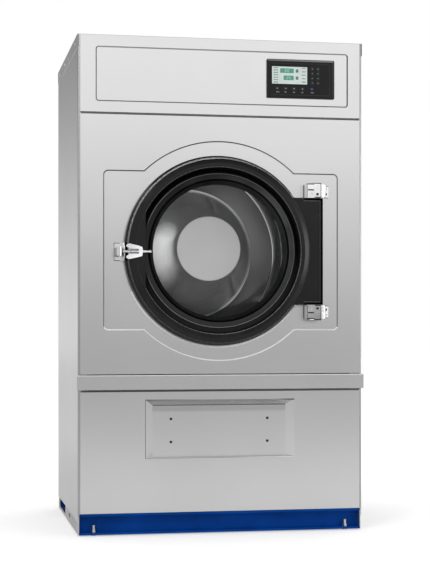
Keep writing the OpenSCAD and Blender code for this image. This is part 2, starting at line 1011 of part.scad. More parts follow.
module air_ducts() {
  upper_y = [coil_front + 40, coil_front + coil_d - 40];
  upper_x = [coil_x - 180, coil_x + 180];
  shelf_z = [ring_high + tube, coil_low];
  color(zinc) {
    duct(upper_x, upper_y, [drum_z, shelf_z[0]]);
    difference() {
      box([-post_in + tube_thick, post_in - tube_thick], [frame_front, frame_rear - tube_thick], shelf_z);
      box(upper_x, upper_y, [shelf_z[0] - past, shelf_z[1] + past]);
      for (side = [-1, 1], y = [frame_front, frame_rear])
        translate([side * post_in, y, shelf_z[0]])
          cube([2 * tube + 2, 2 * tube + 2, 20], center = true);
    }
    duct(
      [drum_x - 200, drum_x + 200],
      [chamber_front + 130, chamber_rear - 30],
      [ring_low, drum_z]
    );
  }
}

module lint_chamber() {
  // Sheet box that the drawer slides into, with a leg on the left that leads to the fan
  leg_right = -scroll_w / 2;
  leg_rear = frame_rear - tube - 20;
  high = ring_low;
  color(zinc)
    difference() {
      union() {
        box([-chamber_half, chamber_half], [chamber_front, chamber_rear], [chamber_low, high]);
        box([-chamber_half, leg_right], [chamber_rear - past, leg_rear], [chamber_low, high]);
      }
      box(
        [-chamber_half + sheet, chamber_half - sheet],
        [chamber_front - past, chamber_rear - sheet],
        [chamber_low + sheet, high - sheet]
      );
      box(
        [-chamber_half + sheet, leg_right - sheet],
        [chamber_rear - 2 * sheet, leg_rear - sheet],
        [chamber_low + sheet, high - sheet]
      );
      box(
        [drum_x - 200, drum_x + 200],
        [chamber_front + 130, chamber_rear - 30],
        [high - 2 * sheet, high + past]
      );
      rod_x(fan_y, fan_z, [leg_right - 2 * sheet, leg_right + past], fan_inlet_r);
    }
}

module drawer_runners() {
  // Channels on the chamber's side walls that the drawer's slides run in
  outer = chamber_half - sheet;
  inner = tray_w / 2 + 4;
  color(zinc)
    for (side = [0, 1])
      mirror([side, 0, 0])
        difference() {
          box([inner, outer], [chamber_front + 4, chamber_rear - 6], [runner_z - 20, runner_z + 20]);
          box(
            [inner - past, outer - runner_web],
            [chamber_front, chamber_rear],
            [runner_z - slide_h / 2 - runner_clearance, runner_z + slide_h / 2 + runner_clearance]
          );
        }
}

// Steam coil and pipework

function tube_y_at(i) = coil_front + (i + 0.5) * tube_pitch_y;
function tube_z_at(j) = coil_low + (j + 0.5) * tube_pitch_z;

module coil_fins() {
  step = (coil_w - fin_t) / (fins - 1);
  color([0.75, 0.76, 0.78]) {
    for (n = [1 : fins - 2])
      coil_plate(coil_x - coil_w / 2 + n * step, fin_t);
    for (side = [-1, 1])
      coil_plate(coil_x + side * (coil_w / 2 - 1) - 1, 2);
    for (y = [coil_front - 2, coil_front + coil_d])
      box([coil_x - coil_w / 2, coil_x + coil_w / 2], [y, y + 2], [coil_low, coil_low + coil_h]);
  }
}

module coil_plate(x, thick) {
  // One plate across the tubes
  plate_x([x, x + thick])
    difference() {
      translate([coil_front, coil_low])
        square([coil_d, coil_h]);
      for (i = [0 : tube_columns - 1], j = [0 : tube_rows - 1])
        translate([tube_y_at(i), tube_z_at(j)])
          circle(r = tube_r + 0.1, $fn = 48);
    }
}

module coil_tubes() {
  // Two serpentine rows with their open ends at the right, joined there at the front
  ends = [coil_x - coil_w / 2 - tube_reach, coil_x + coil_w / 2 + tube_reach];
  color([0.72, 0.45, 0.30]) {
    for (i = [0 : tube_columns - 1], j = [0 : tube_rows - 1])
      rod_x(tube_y_at(i), tube_z_at(j), ends, tube_r);
    for (i = [0 : tube_columns - 2], j = [0 : tube_rows - 1])
      translate([i % 2 == 0 ? ends[0] : ends[1], tube_y_at(i) + tube_pitch_y / 2, tube_z_at(j)])
        rotate([0, 0, i % 2 == 0 ? 90 : -90])
          tube_bend(tube_pitch_y);
    translate([ends[1], tube_y_at(0), coil_low + coil_h / 2])
      rotate([90, 0, 0])
        rotate([0, 0, -90])
          tube_bend(tube_pitch_z);
  }
}

module tube_bend(width) {
  // Half a turn of coil tube
  rotate_extrude(angle = 180, $fn = 48)
    translate([width / 2, 0])
      circle(r = tube_r, $fn = 32);
}

module pipe_run(x, z) {
  // A pipe from the right-hand end of the last coil tube to a flange behind the rear panel
  start = coil_x + coil_w / 2 + tube_reach;
  difference() {
    union() {
      rod_x(last_tube_y, z, [start, x], tube_r);
      translate([x, last_tube_y, z])
        sphere(r = tube_r);
      rod_y(x, z, [last_tube_y, flange_rear], tube_r);
      rod_y(x, z, [flange_rear - flange_t, flange_rear], flange_r);
    }
    rod_x(last_tube_y, z, [start - past, x], tube_r - tube_wall);
    rod_y(x, z, [last_tube_y, flange_rear + past], tube_r - tube_wall);
    for (a = [45 : 90 : 315])
      rod_y(
        x + flange_bolts_r * cos(a),
        z + flange_bolts_r * sin(a),
        [flange_rear - flange_t - past, flange_rear + past],
        flange_hole_r
      );
  }
}

module steam_pipe() {
  color(zinc)
    pipe_run(steam_x, steam_z);
}

module condensate_pipe() {
  color(zinc)
    pipe_run(condensate_x, condensate_z);
}

module steam_valve() {
  // A solenoid valve clamped on the steam pipe inside the cabinet
  y = [frame_rear - 150, frame_rear - 70];
  mid = (y[0] + y[1]) / 2;
  color([0.72, 0.60, 0.30])
    difference() {
      union() {
        box([steam_x - 20, steam_x + 20], y, [steam_z - 20, steam_z + 20]);
        rod_z(steam_x, mid, [steam_z + 20, steam_z + 46], 14);
        box([steam_x - 22, steam_x + 22], [mid - 24, mid + 24], [steam_z + 46, steam_z + 92]);
      }
      rod_y(steam_x, steam_z, [y[0] - past, y[1] + past], tube_r);
    }
}

// Fan

module scroll(grow) {
  // Outline of the fan housing in Y and Z: a round case with a straight outlet to the rear
  translate([fan_y, fan_z])
    circle(r = scroll_r + grow, $fn = 120);
  translate([fan_y, scroll_low - grow])
    square([outlet_rear - fan_y + (grow < 0 ? past : 0), outlet_top - scroll_low + 2 * grow]);
}

module fan_housing() {
  wall = scroll_w / 2;
  color(zinc)
    difference() {
      union() {
        plate_x([-wall, wall])
          scroll(0);
        for (y = [fan_y - 120, fan_y + 120])
          box([-wall, wall], [y - 2, y + 2], [chamber_low, fan_z]);
      }
      plate_x([-wall + sheet, wall - sheet])
        scroll(-sheet);
      rod_x(fan_y, fan_z, [-wall - past, -wall + 2 * sheet], fan_inlet_r);
      rod_x(fan_y, fan_z, [wall - 2 * sheet, wall + past], motor_shaft_r + 4);
    }
}

module fan_motor() {
  flange_x = scroll_w / 2;
  end = flange_x + fan_motor_l;
  color([0.30, 0.34, 0.40])
    difference() {
      union() {
        rod_x(fan_y, fan_z, [flange_x, flange_x + 10], fan_motor_r + 14);
        rod_x(fan_y, fan_z, [flange_x + 10, end], fan_motor_r);
        rod_x(fan_y, fan_z, [end, end + 30], fan_motor_r - 8);
        box(
          [flange_x + 60, flange_x + 150],
          [fan_y - 40, fan_y + 40],
          [fan_z + fan_motor_r - 10, fan_z + fan_motor_r + 34]
        );
        box(
          [flange_x + 50, flange_x + 170],
          [fan_y - 60, fan_y + 60],
          [chamber_low, chamber_low + 8]
        );
        box(
          [flange_x + 60, flange_x + 160],
          [fan_y - 5, fan_y + 5],
          [chamber_low, fan_z - fan_motor_r + 10]
        );
      }
      rod_x(fan_y, fan_z, [flange_x - past, flange_x + 60], motor_shaft_r + shaft_clearance);
    }
}

module exhaust_collar() {
  // Square plate on the rear panel with the round spigot that takes the exhaust duct,
  // and a small weld bead at the spigot's foot
  plate = exhaust_r + 15;
  bore = exhaust_r - sheet;
  color(steel) {
    turned_y(0, exhaust_z, [
      [bore, rear_y - sheet],
      [exhaust_r + 1, rear_y - sheet],
      [exhaust_r + 1, rear_y],
      [exhaust_r, rear_y + 1],
      [exhaust_r, flange_rear],
      [bore, flange_rear]
    ]);
    difference() {
      box(
        [-plate, plate],
        [rear_y - sheet, rear_y],
        [exhaust_z - plate, exhaust_z + plate]
      );
      rod_y(0, exhaust_z, [rear_y - sheet - past, rear_y + past], bore);
    }
  }
}

module fan_impeller() {
  // Backward blades between a back plate and an inlet ring, on the motor's shaft
  half = impeller_w / 2;
  color([0.62, 0.63, 0.65]) {
    rod_x(fan_y, fan_z, [half - 3, half], impeller_r);
    rod_x(fan_y, fan_z, [half - 30, half], 28);
    rod_x(fan_y, fan_z, [half, scroll_w / 2 + 50], motor_shaft_r);
    difference() {
      rod_x(fan_y, fan_z, [-half, -half + 2], impeller_r);
      rod_x(fan_y, fan_z, [-half - past, -half + 2 + past], fan_inlet_r + 4);
    }
    for (n = [0 : blades - 1])
      translate([0, fan_y, fan_z])
        rotate([n * 360 / blades, 0, 0])
          translate([-half + 1, fan_inlet_r + 5, -1])
            rotate([35, 0, 0])
              cube([impeller_w - 2, impeller_r - fan_inlet_r - 14, 2]);
  }
}

// Drive

module drive_motor() {
  start = bulkhead_y - motor_l;
  color([0.30, 0.34, 0.40])
    difference() {
      union() {
        rod_y(motor_x, motor_z, [bulkhead_y - 10, bulkhead_y], motor_r + 14);
        rod_y(motor_x, motor_z, [start, bulkhead_y - 10], motor_r);
        rod_y(motor_x, motor_z, [start - 26, start], motor_r - 8);
      }
      rod_y(motor_x, motor_z, [bulkhead_y - 60, bulkhead_y + past], motor_shaft_r + shaft_clearance);
    }
}

function wrap_points(x, z, r, start, sweep, steps) =
  [for (i = [0 : steps])
    let (a = start + i * sweep / steps, out = r / cos(sweep / steps / 2))
    [x + out * cos(a), z + out * sin(a)]
  ];

function belt_points(grow) =
  concat(
    wrap_points(
      drum_x, drum_z, drum_pulley_r + grow,
      belt_angle + belt_spread, 360 - 2 * belt_spread, 60
    ),
    wrap_points(
      motor_x, motor_z, motor_pulley_r + grow,
      belt_angle - belt_spread, 2 * belt_spread, 16
    )
  );

module drive_belt() {
  color(rubber)
    plate_y([pulley_y + 3, pulley_y + pulley_w - 3])
      difference() {
        polygon(belt_points(belt_gap + belt_t));
        polygon(belt_points(belt_gap));
      }
}

module motor_pulley() {
  color(zinc) {
    rod_y(motor_x, motor_z, [bulkhead_y - 50, pulley_y], motor_shaft_r);
    rod_y(motor_x, motor_z, [pulley_y, pulley_y + pulley_w], motor_pulley_r);
    for (y = [pulley_y, pulley_y + pulley_w - 2])
      rod_y(motor_x, motor_z, [y, y + 2], motor_pulley_r + belt_t + 1);
  }
}

module drum_pulley() {
  hub_r = shaft_r + 25;
  color(zinc)
    difference() {
      union() {
        tube_y(drum_x, drum_z, [pulley_y, pulley_y + pulley_w], drum_pulley_r, drum_pulley_r - 12);
        tube_y(drum_x, drum_z, [pulley_y + 8, pulley_y + 16], drum_pulley_r - 11, hub_r - 1);
        rod_y(drum_x, drum_z, [pulley_y, pulley_y + pulley_w], hub_r);
      }
      rod_y(drum_x, drum_z, [pulley_y - past, pulley_y + pulley_w + past], shaft_r);
      for (n = [0 : 5])
        rod_y(
          drum_x + (drum_pulley_r + hub_r) / 2 * cos(60 * n),
          drum_z + (drum_pulley_r + hub_r) / 2 * sin(60 * n),
          [pulley_y, pulley_y + pulley_w],
          0.32 * (drum_pulley_r - hub_r)
        );
    }
}

module drum_shaft() {
  // Shaft with the flange that carries the drum's back
  color(zinc) {
    rod_y(drum_x, drum_z, [drum_rear, pulley_y + pulley_w + 5], shaft_r);
    rod_y(drum_x, drum_z, [drum_rear, drum_rear + 14], shaft_r + 70);
  }
}

module bearing_housing() {
  color([0.35, 0.37, 0.40])
    difference() {
      union() {
        rod_y(drum_x, drum_z, [housing_y, housing_y + housing_l], bearing_r + 13);
        rod_y(drum_x, drum_z, [housing_y, housing_y + 9], bearing_r + 42);
      }
      rod_y(drum_x, drum_z, [housing_y - past, housing_y + housing_l + past], bearing_r);
      for (a = [45 : 90 : 315])
        rod_y(
          drum_x + (bearing_r + 28) * cos(a),
          drum_z + (bearing_r + 28) * sin(a),
          [housing_y - past, housing_y + 10],
          6
        );
    }
}

module shaft_bearings() {
  color(chrome)
    for (y = [housing_y + 3, housing_y + housing_l - 3 - bearing_w])
      tube_y(drum_x, drum_z, [y, y + bearing_w], bearing_r, shaft_r + shaft_clearance);
}

// Drum

module drum_shell() {
  color(chrome)
    turned_y(drum_x, drum_z, [
      [mouth_r, drum_front - felt_w],
      [mouth_r + sheet, drum_front - felt_w],
      [mouth_r + sheet, drum_front],
      [drum_r, drum_front],
      [drum_r, drum_rear],
      [drum_r - sheet, drum_rear],
      [drum_r - sheet, drum_front + sheet],
      [mouth_r, drum_front + sheet]
    ]);
}

module drum_back() {
  // Back plate and the hub cone that points at the door
  color(chrome)
    turned_y(drum_x, drum_z, [
      [drum_r - sheet, drum_rear],
      [0, drum_rear],
      [0, drum_rear - sheet],
      [cone_back_r - 3, drum_rear - sheet],
      [cap_r - 2, cap_y],
      [cap_r, cap_y],
      [cone_back_r, drum_rear - 2 * sheet],
      [drum_r - sheet, drum_rear - 2 * sheet]
    ]);
}

module hub_cap() {
  color(steel)
    turned_y(drum_x, drum_z, [
      [0, cap_y - 3],
      [cap_r + 1, cap_y - 3],
      [cap_r + 3, cap_y - 1],
      [cap_r + 3, cap_y],
      [0, cap_y]
    ]);
}

module lifter_outline(inset) {
  // Section of a lifter that rises from the drum's wall towards its axis
  foot = sqrt(pow(drum_r - sheet, 2) - pow(lifter_w / 2, 2));
  polygon([
    [-lifter_w / 2 + 2 * inset, foot + (inset > 0 ? past : 0)],
    [-lifter_w / 7 + inset, foot - lifter_h + inset],
    [lifter_w / 7 - inset, foot - lifter_h + inset],
    [lifter_w / 2 - 2 * inset, foot + (inset > 0 ? past : 0)]
  ]);
}

module drum_lifters() {
  // Folded sheet, hollow towards the drum's wall
  y = [drum_front + 2 * sheet, drum_rear - 3 * sheet];
  color(chrome)
    for (n = [0 : lifters - 1])
      translate([drum_x, 0, drum_z])
        rotate([0, n * 360 / lifters + 30, 0])
          difference() {
            plate_y(y)
              lifter_outline(0);
            plate_y([y[0] + sheet, y[1] - sheet])
              lifter_outline(sheet);
          }
}

// Door

module door_frame() {
  flat_in = ring_flat_r - ring_flat_w;
  wing_front = door_front + wing_sink;
  rim_front = wing_front - wing_rim_h;
  color(black)
      union() {
        turned_y(door_x, door_z, [
          [door_r, door_back],
          [door_r, door_front + 24],
          [door_r - 8, door_front + 10],
          [door_r - 11, door_front + 5],
          [ring_flat_r, door_front],
          [flat_in, door_front],
          [flat_in - 3, door_front + 3],
          [flat_in - 8, door_front + 18],
          [flat_in - 23, door_front + 20],
          [flat_in - 26, door_front + 14],
          [flat_in - 29, door_front + 12],
          [flat_in - 47, door_front + 14],
          [flat_in - 49, door_front + 22],
          [flat_in - 52, door_front + 22],
          [flat_in - 54, door_front + 16],
          [view_r, door_front + 33],
          [view_r, gasket_front],
          [gasket_r, gasket_front],
          [gasket_r, door_back]
        ]);
        difference() {
          union() {
            box([door_x, wing_right], [wing_front, door_back], [door_z - wing_h / 2, door_z + wing_h / 2]);
            box(
              [door_x + door_r - 90, wing_right],
              [rim_front, wing_front + past],
              [door_z - wing_h / 2, door_z + wing_h / 2]
            );
          }
          box(
            [door_x, wing_right - wing_rim],
            [rim_front - past, wing_front],
            [door_z - wing_h / 2 + wing_rim, door_z + wing_h / 2 - wing_rim]
          );
          rod_y(door_x, door_z, [rim_front - past, door_back + past], ring_flat_r + 1);
        }
        // Flat pad under the latch
        intersection() {
          rod_y(door_x, door_z, [door_front, door_back], door_r - 15);
          box(
            [door_x - door_r, door_x - pad_chord],
            [door_front, door_back],
            [door_z - door_r, door_z + door_r]
          );
        }
      }
}

module door_glass() {
  color([0.75, 0.85, 0.88, 0.35])
    rod_y(door_x, door_z, [glass_front, glass_back], glass_r);
}

module glass_gasket() {
  bite = glass_r - gasket_bite;
  color(rubber)
    turned_y(door_x, door_z, [
      [bite, gasket_front],
      [gasket_r, gasket_front],
      [gasket_r, gasket_back],
      [bite, gasket_back],
      [bite, glass_back],
      [glass_r, glass_back],
      [glass_r, glass_front],
      [bite, glass_front]
    ]);
}

module glass_clamp() {
  color(steel)
    turned_y(door_x, door_z, [
      [gasket_r, door_back],
      [clamp_flange_r, door_back],
      [clamp_flange_r, door_back + sheet],
      [gasket_r + 2, door_back + sheet],
      [gasket_r + 2, gasket_back + 2],
      [glass_r - gasket_bite, gasket_back + 2],
      [glass_r - gasket_bite, gasket_back],
      [gasket_r, gasket_back]
    ]);
}

module door_seal() {
  color(rubber)
    tube_y(door_x, door_z, [field_y - seal_t, field_y], seal_r + seal_w, seal_r);
}

// Hinges. The upper one is drawn and the lower one mirrors it about the door's middle.

module both_hinges() {
  for (lower = [0, 1])
    translate([0, 0, lower ? 2 * door_z : 0])
      mirror([0, 0, lower])
        children();
}

module hinge_arms() {
  low = door_z + wing_h / 2;
  barrel = [door_z + barrel_start, door_z + barrel_start + barrel_h];
  back = field_y - leaf_t - 6;
  color(chrome)
    both_hinges()
      difference() {
        union() {
          box([arm_right - arm_w, arm_right - 26], [door_front - 2, back], [low, low + arm_h - 6]);
          box([arm_right - 27, arm_right], [door_front - 4, back], [low, low + arm_h]);
          rod_z(hinge_x, hinge_y, barrel, barrel_r);
          box([arm_right - 2, hinge_x], [hinge_y - 5, hinge_y + 5], barrel);
        }
        rod_z(hinge_x, hinge_y, [barrel[0] - past, barrel[1] + past], pin_r + pin_clearance);
        // Slot between the upper and lower half of the block, and its screw pockets
        box(
          [arm_right - arm_w + 6, arm_right - 30],
          [door_front - 3, door_front + 6],
          [low + 29, low + 33]
        );
        for (x = [arm_right - arm_w + 18, arm_right - 14])
          rod_y(x, low + 14, [door_front - 5, door_front + 3], 5);
      }
}

module hinge_leaves() {
  barrel_low = door_z + barrel_start + barrel_h + barrel_gap;
  barrel = [barrel_low, barrel_low + barrel_h];
  color(chrome)
    both_hinges()
      difference() {
        union() {
          rod_z(hinge_x, hinge_y, barrel, barrel_r);
          box([hinge_x - 5, hinge_x + 6], [hinge_y, field_y], barrel);
          box([hinge_x - 5, hinge_x + leaf_w], [field_y - leaf_t, field_y], [door_z + barrel_start, barrel[1]]);
        }
        rod_z(hinge_x, hinge_y, [barrel[0] - past, barrel[1] + past], pin_r + pin_clearance);
        for (z = [door_z + barrel_start + 12, barrel[1] - 12])
          rod_y(hinge_x + leaf_w - 8, z, [field_y - leaf_t - past, field_y + past], 3.2);
      }
}

module hinge_pins() {
  pin = [door_z + barrel_start - 3, door_z + barrel_start + 2 * barrel_h + barrel_gap];
  color(chrome)
    both_hinges() {
      rod_z(hinge_x, hinge_y, pin, pin_r);
      rod_z(hinge_x, hinge_y, [pin[1], pin[1] + 3], pin_r + 3);
    }
}

// Latch

module jaw() {
  // Upper jaw in X and Z about the bolt's line: wide and round at the left, narrow at the nose
  polygon([
    [jaw_left + 2, jaw_wide / 2 - jaw_h + 3],
    [jaw_left - 2, jaw_wide / 2 - jaw_h / 2],
    [jaw_left + 3, jaw_wide / 2 - 3],
    [jaw_left + 10, jaw_wide / 2],
    [nose_x - 12, jaw_narrow / 2],
    [nose_x - 4, jaw_narrow / 2 - 6],
    [nose_x, bolt_r + 5],
    [nose_x, 0],
    [nose_x - nose_l, 0],
    [nose_x - nose_l, spring_out + 1.5],
    [jaw_left + 18, jaw_wide / 2 - jaw_h - 2]
  ]);
}

module latch_body() {
  jaw_y = [door_front - latch_plate_t - jaw_t, door_front - latch_plate_t];
  color(chrome) {
    // Plate with a slot for the spring and the bolt's collar
    difference() {
      plate_y([door_front - latch_plate_t, door_front])
        rounded(
          (jaw_left + nose_x) / 2 + 5, latch_z,
          jaw_l - 8, jaw_narrow - 4, 6
        );
      box(
        [jaw_left - past, nose_x - nose_l],
        [door_front - latch_plate_t - past, door_front + past],
        [latch_z - spring_out - clear, latch_z + spring_out + clear]
      );
    }
    difference() {
      for (flip = [0, 1])
        translate([0, 0, latch_z])
          mirror([0, 0, flip])
            plate_y(jaw_y)
              jaw();
      rod_x(bolt_y, latch_z, [jaw_left - past, nose_x + past], bolt_r + bolt_clearance);
    }
    for (flip = [-1, 1])
      rod_y(
        jaw_left + 9,
        latch_z + flip * (jaw_wide - jaw_h) / 2,
        [jaw_y[0] - 2, jaw_y[0]],
        4
      );
  }
}

module latch_bolt() {
  // Bolt with a collar for the spring and a thin tail to pull
  color(chrome) {
    rod_x(bolt_y, latch_z, [bolt_tip, nose_x + bolt_travel], bolt_r);
    rod_x(bolt_y, latch_z, [nose_x + bolt_travel, tail_end - 4], tail_r);
    rod_x(bolt_y, latch_z, [collar_x - 5, collar_x], spring_out);
    rod_x(bolt_y, latch_z, [tail_end - 8, tail_end], tail_r + 1);
  }
}

function spring_ring(i) =
  let (
    a = 360 * i / 8,
    x = spring_from + (spring_to - spring_from) * i / spring_steps,
    lean = atan2(spring_pitch, 2 * PI * spring_r)
  )
  [for (k = [0 : spring_sides - 1])
    let (
      b = 360 * k / spring_sides,
      out = spring_r + spring_wire * cos(b),
      along = spring_wire * sin(b)
    )
    [
      x + along * cos(lean),
      bolt_y + out * cos(a) + along * sin(lean) * sin(a),
      latch_z + out * sin(a) - along * sin(lean) * cos(a)
    ]
  ];

module latch_spring() {
  rings = [for (i = [0 : spring_steps]) spring_ring(i)];
  points = [for (ring = rings) each ring];
  sides = [
    for (i = [0 : spring_steps - 1], k = [0 : spring_sides - 1], half = [0, 1])
      let (
        a = i * spring_sides + k,
        b = i * spring_sides + (k + 1) % spring_sides,
        c = b + spring_sides,
        d = a + spring_sides
      )
      half == 0 ? [a, c, b] : [a, d, c]
  ];
  start = [for (k = [1 : spring_sides - 2]) [0, k, k + 1]];
  last = spring_steps * spring_sides;
  end = [for (k = [1 : spring_sides - 2]) [last, last + k + 1, last + k]];
  gaps = [
    for (i = [0 : spring_steps - 5], j = [i + 5 : min(i + 11, spring_steps)])
      for (p = rings[i], q = rings[j])
        norm(p - q)
  ];
  echo(least_gap_between_curls_mm = min(gaps));
  color(chrome)
    polyhedron(points = points, faces = concat(sides, start, end));
}

module latch_keeper() {
  // Fork plate open to the front, a short arm and the post behind the bolt's tip
  slot = bolt_r + 1.5;
  front = bolt_y - bolt_r - 6;
  color(chrome) {
    difference() {
      box([fork_x, fork_x + fork_t], [front, field_y], [latch_z - fork_h / 2, latch_z + fork_h / 2]);
      box(
        [fork_x - past, fork_x + fork_t + past],
        [front - past, bolt_y + slot],
        [latch_z - slot, latch_z + slot]
      );
      for (flip = [0, 1])
        translate([0, 0, latch_z])
          mirror([0, 0, flip])
            plate_x([fork_x - past, fork_x + fork_t + past])
              polygon([
                [front - past, fork_h / 2 - 22],
                [front + 24, fork_h / 2 + past],
                [front - past, fork_h / 2 + past]
              ]);
    }
    box(
      [keeper_x - keeper_r - 4, fork_x + past],
      [field_y - 3, field_y],
      [latch_z - fork_h / 2, latch_z + fork_h / 2]
    );
    box([keeper_x - 4, keeper_x + 4], [bolt_y, field_y], [latch_z - 10, latch_z + 10]);
    rod_z(keeper_x, bolt_y, [latch_z - keeper_h / 2, latch_z + keeper_h / 2], keeper_r);
  }
}

// Lint drawer

module drawer_front() {
  low = recess_z - recess_h / 2;
  high = recess_z + recess_h / 2;
  left = recess_x - recess_w / 2;
  right = recess_x + recess_w / 2;
  color(steel)
    difference() {
      union() {
        pan([-panel_half, panel_half], [drawer_low, drawer_top]);
        intersection() {
          recess(left - sheet, right + sheet, low - sheet, high + sheet, recess_depth + sheet, 0);
          box([-panel_half, panel_half], [front_y, rear_y], [drawer_low, drawer_top]);
        }
      }
      recess(left, right, low, high, recess_depth, past);
      for (i = [-1, 1], j = [-1, 1])
        rod_y(
          recess_x + i * plate_hole_dx / 2,
          recess_z - 7 + j * plate_hole_dz / 2,
          [front_y, front_y + recess_depth + 3 * sheet],
          plate_hole_r
        );
    }
}

module recess(left, right, low, high, depth, start) {
  // Shallow pressed box with sloping sides and top and a square lower edge
  intersection() {
    translate([0, 0, low])
      linear_extrude(height = high - low)
        polygon([
          [left, front_y - start],
          [left, front_y],
          [left + recess_side_slope, front_y + depth],
          [right - recess_side_slope, front_y + depth],
          [right, front_y],
          [right, front_y - start]
        ]);
    plate_x([left, right])
      polygon([
        [front_y - start, low],
        [front_y + depth, low],
        [front_y + depth, high - recess_top_slope],
        [front_y, high],
        [front_y - start, high]
      ]);
  }
}

module drawer_tray() {
  // Tray with the lint screen in its floor and a slide on each side
  half = tray_w / 2;
  front = front_y + recess_depth + 4;
  slide_out = chamber_half - sheet - runner_web - runner_clearance;
  step_x = (tray_w - 2 * sheet) / (screen_bars + 1);
  step_y = (tray_rear - front - 2 * sheet) / (screen_cross_bars + 1);
  color(zinc) {
    difference() {
      box([-half, half], [front, tray_rear], [tray_low, tray_low + tray_h]);
      box(
        [-half + sheet, half - sheet],
        [front + sheet, tray_rear - sheet],
        [tray_low + 12, tray_low + tray_h + past]
      );
      box(
        [-half + 12, half - 12],
        [front + 12, tray_rear - 12],
        [tray_low - past, tray_low + 13]
      );
    }
    for (n = [1 : screen_bars])
      box(
        [-half + sheet + n * step_x - screen_bar / 2, -half + sheet + n * step_x + screen_bar / 2],
        [front + 11, tray_rear - 11],
        [tray_low + 5, tray_low + 8]
      );
    for (n = [1 : screen_cross_bars])
      box(
        [-half + 11, half - 11],
        [front + sheet + n * step_y - screen_bar / 2, front + sheet + n * step_y + screen_bar / 2],
        [tray_low + 2, tray_low + 5]
      );
    for (side = [0, 1])
      mirror([side, 0, 0]) {
        box([half - past, slide_out], [front + 20, tray_rear], [runner_z - slide_h / 2, runner_z + slide_h / 2]);
        box([half - 60, half], [front_y + sheet, front + past], [runner_z - 60, runner_z + 60]);
      }
  }
}

// Control panel and wiring

module control_bezel() {
  back = field_y;
  front = back - bezel_proud;
  color(black)
    difference() {
      union() {
        plate_y([front, back])
          rounded(bezel_x, bezel_z, bezel_w, bezel_h, 5);
        plate_y([back - past, back + 14])
          rounded(bezel_x, bezel_z, bezel_w - 21, bezel_h - 21, 3);
      }
      plate_y([front - past, front + 3])
        rounded(lcd_x, lcd_z, lcd_w + 4, lcd_h + 4, 3);
    }
}

module display_window() {
  front = field_y - bezel_proud;
  color([0.80, 0.92, 0.85])
    plate_y([front + 0.5, front + 3])
      rounded(lcd_x, lcd_z, lcd_w, lcd_h, 1.5);
}

module control_box() {
  // Sheet case behind the header that holds the control circuit
  x = [bezel_x - 160, bezel_x + 160];
  y = [frame_front + tube_thick, frame_front + 170];
  z = [coil_low, coil_low + 200];
  color(zinc)
    difference() {
      box(x, y, z);
      box(
        [x[0] + sheet, x[1] - sheet],
        [y[0] - past, y[1] - sheet],
        [z[0] + sheet, z[1] - sheet]
      );
    }
}

module terminal_box() {
  y = [frame_rear - 90, frame_rear];
  color([0.45, 0.46, 0.48])
    difference() {
      box([gland_x - 70, gland_x + 70], y, [gland_z - 55, gland_z + 55]);
      box([gland_x - 66, gland_x + 66], [y[0] + 4, y[1] - 4], [gland_z - 51, gland_z + 51]);
      rod_y(gland_x, gland_z, [y[1] - 20, y[1] + past], cable_r + 4);
    }
}

module cable_gland() {
  color(black)
    difference() {
      union() {
        rod_y(gland_x, gland_z, [frame_rear - 15, rear_y + 10], cable_r + 3.8);
        translate([gland_x, rear_y + 10, gland_z])
          rotate([90, 0, 0])
            cylinder(h = 10 + sheet, r = cable_r + 8, $fn = 6);
        rod_y(gland_x, gland_z, [rear_y + 10, rear_y + 24], cable_r + 6);
      }
      rod_y(gland_x, gland_z, [frame_rear - 16, rear_y + 25], cable_r);
    }
}

module panel_screws() {
  // Screw heads along the top cover's sides
  head_r = 6;
  z = header_top - cover_flange / 2;
  color(chrome)
    for (side = [0, 1])
      mirror([side, 0, 0])
        for (d = [90, 420, 560, cabinet_d - 90])
          rod_x(front_y + d, z, [half_w + sheet, half_w + sheet + 3], head_r);
}

base_front_channel();
base_rear_channel();
base_side_rails();
floor_plate();
jack_screws();
frame();
left_side_panel();
right_side_panel();
top_cover();
rear_panel();
header_panel();
front_panel();
front_rail();
rear_bulkhead();
front_neck();
neck_felt();
drum_casing();
air_ducts();
lint_chamber();
drawer_runners();
coil_fins();
coil_tubes();
steam_pipe();
steam_valve();
condensate_pipe();
fan_housing();
fan_motor();
exhaust_collar();
drive_motor();
drive_belt();
bearing_housing();
shaft_bearings();
control_bezel();
display_window();
control_box();
terminal_box();
cable_gland();
door_seal();
latch_keeper();
hinge_leaves();
hinge_pins();
panel_screws();
door_frame();
door_glass();
glass_gasket();
glass_clamp();
hinge_arms();
latch_body();
latch_bolt();
latch_spring();
drum_shell();
drum_back();
hub_cap();
drum_lifters();
drum_shaft();
drum_pulley();
motor_pulley();
fan_impeller();
drawer_front();
drawer_tray();
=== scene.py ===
# %% [markdown]
# # Industrial steam dryer
# A tall stainless dryer: a folded sheet cabinet on a blue channel base, a black porthole door, a
# polished drum behind the glass and a lint drawer below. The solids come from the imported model,
# so this lesson is about finishes, small repeated parts, light and the camera.

import math

import bmesh
import bpy
from mathutils import Matrix, Vector


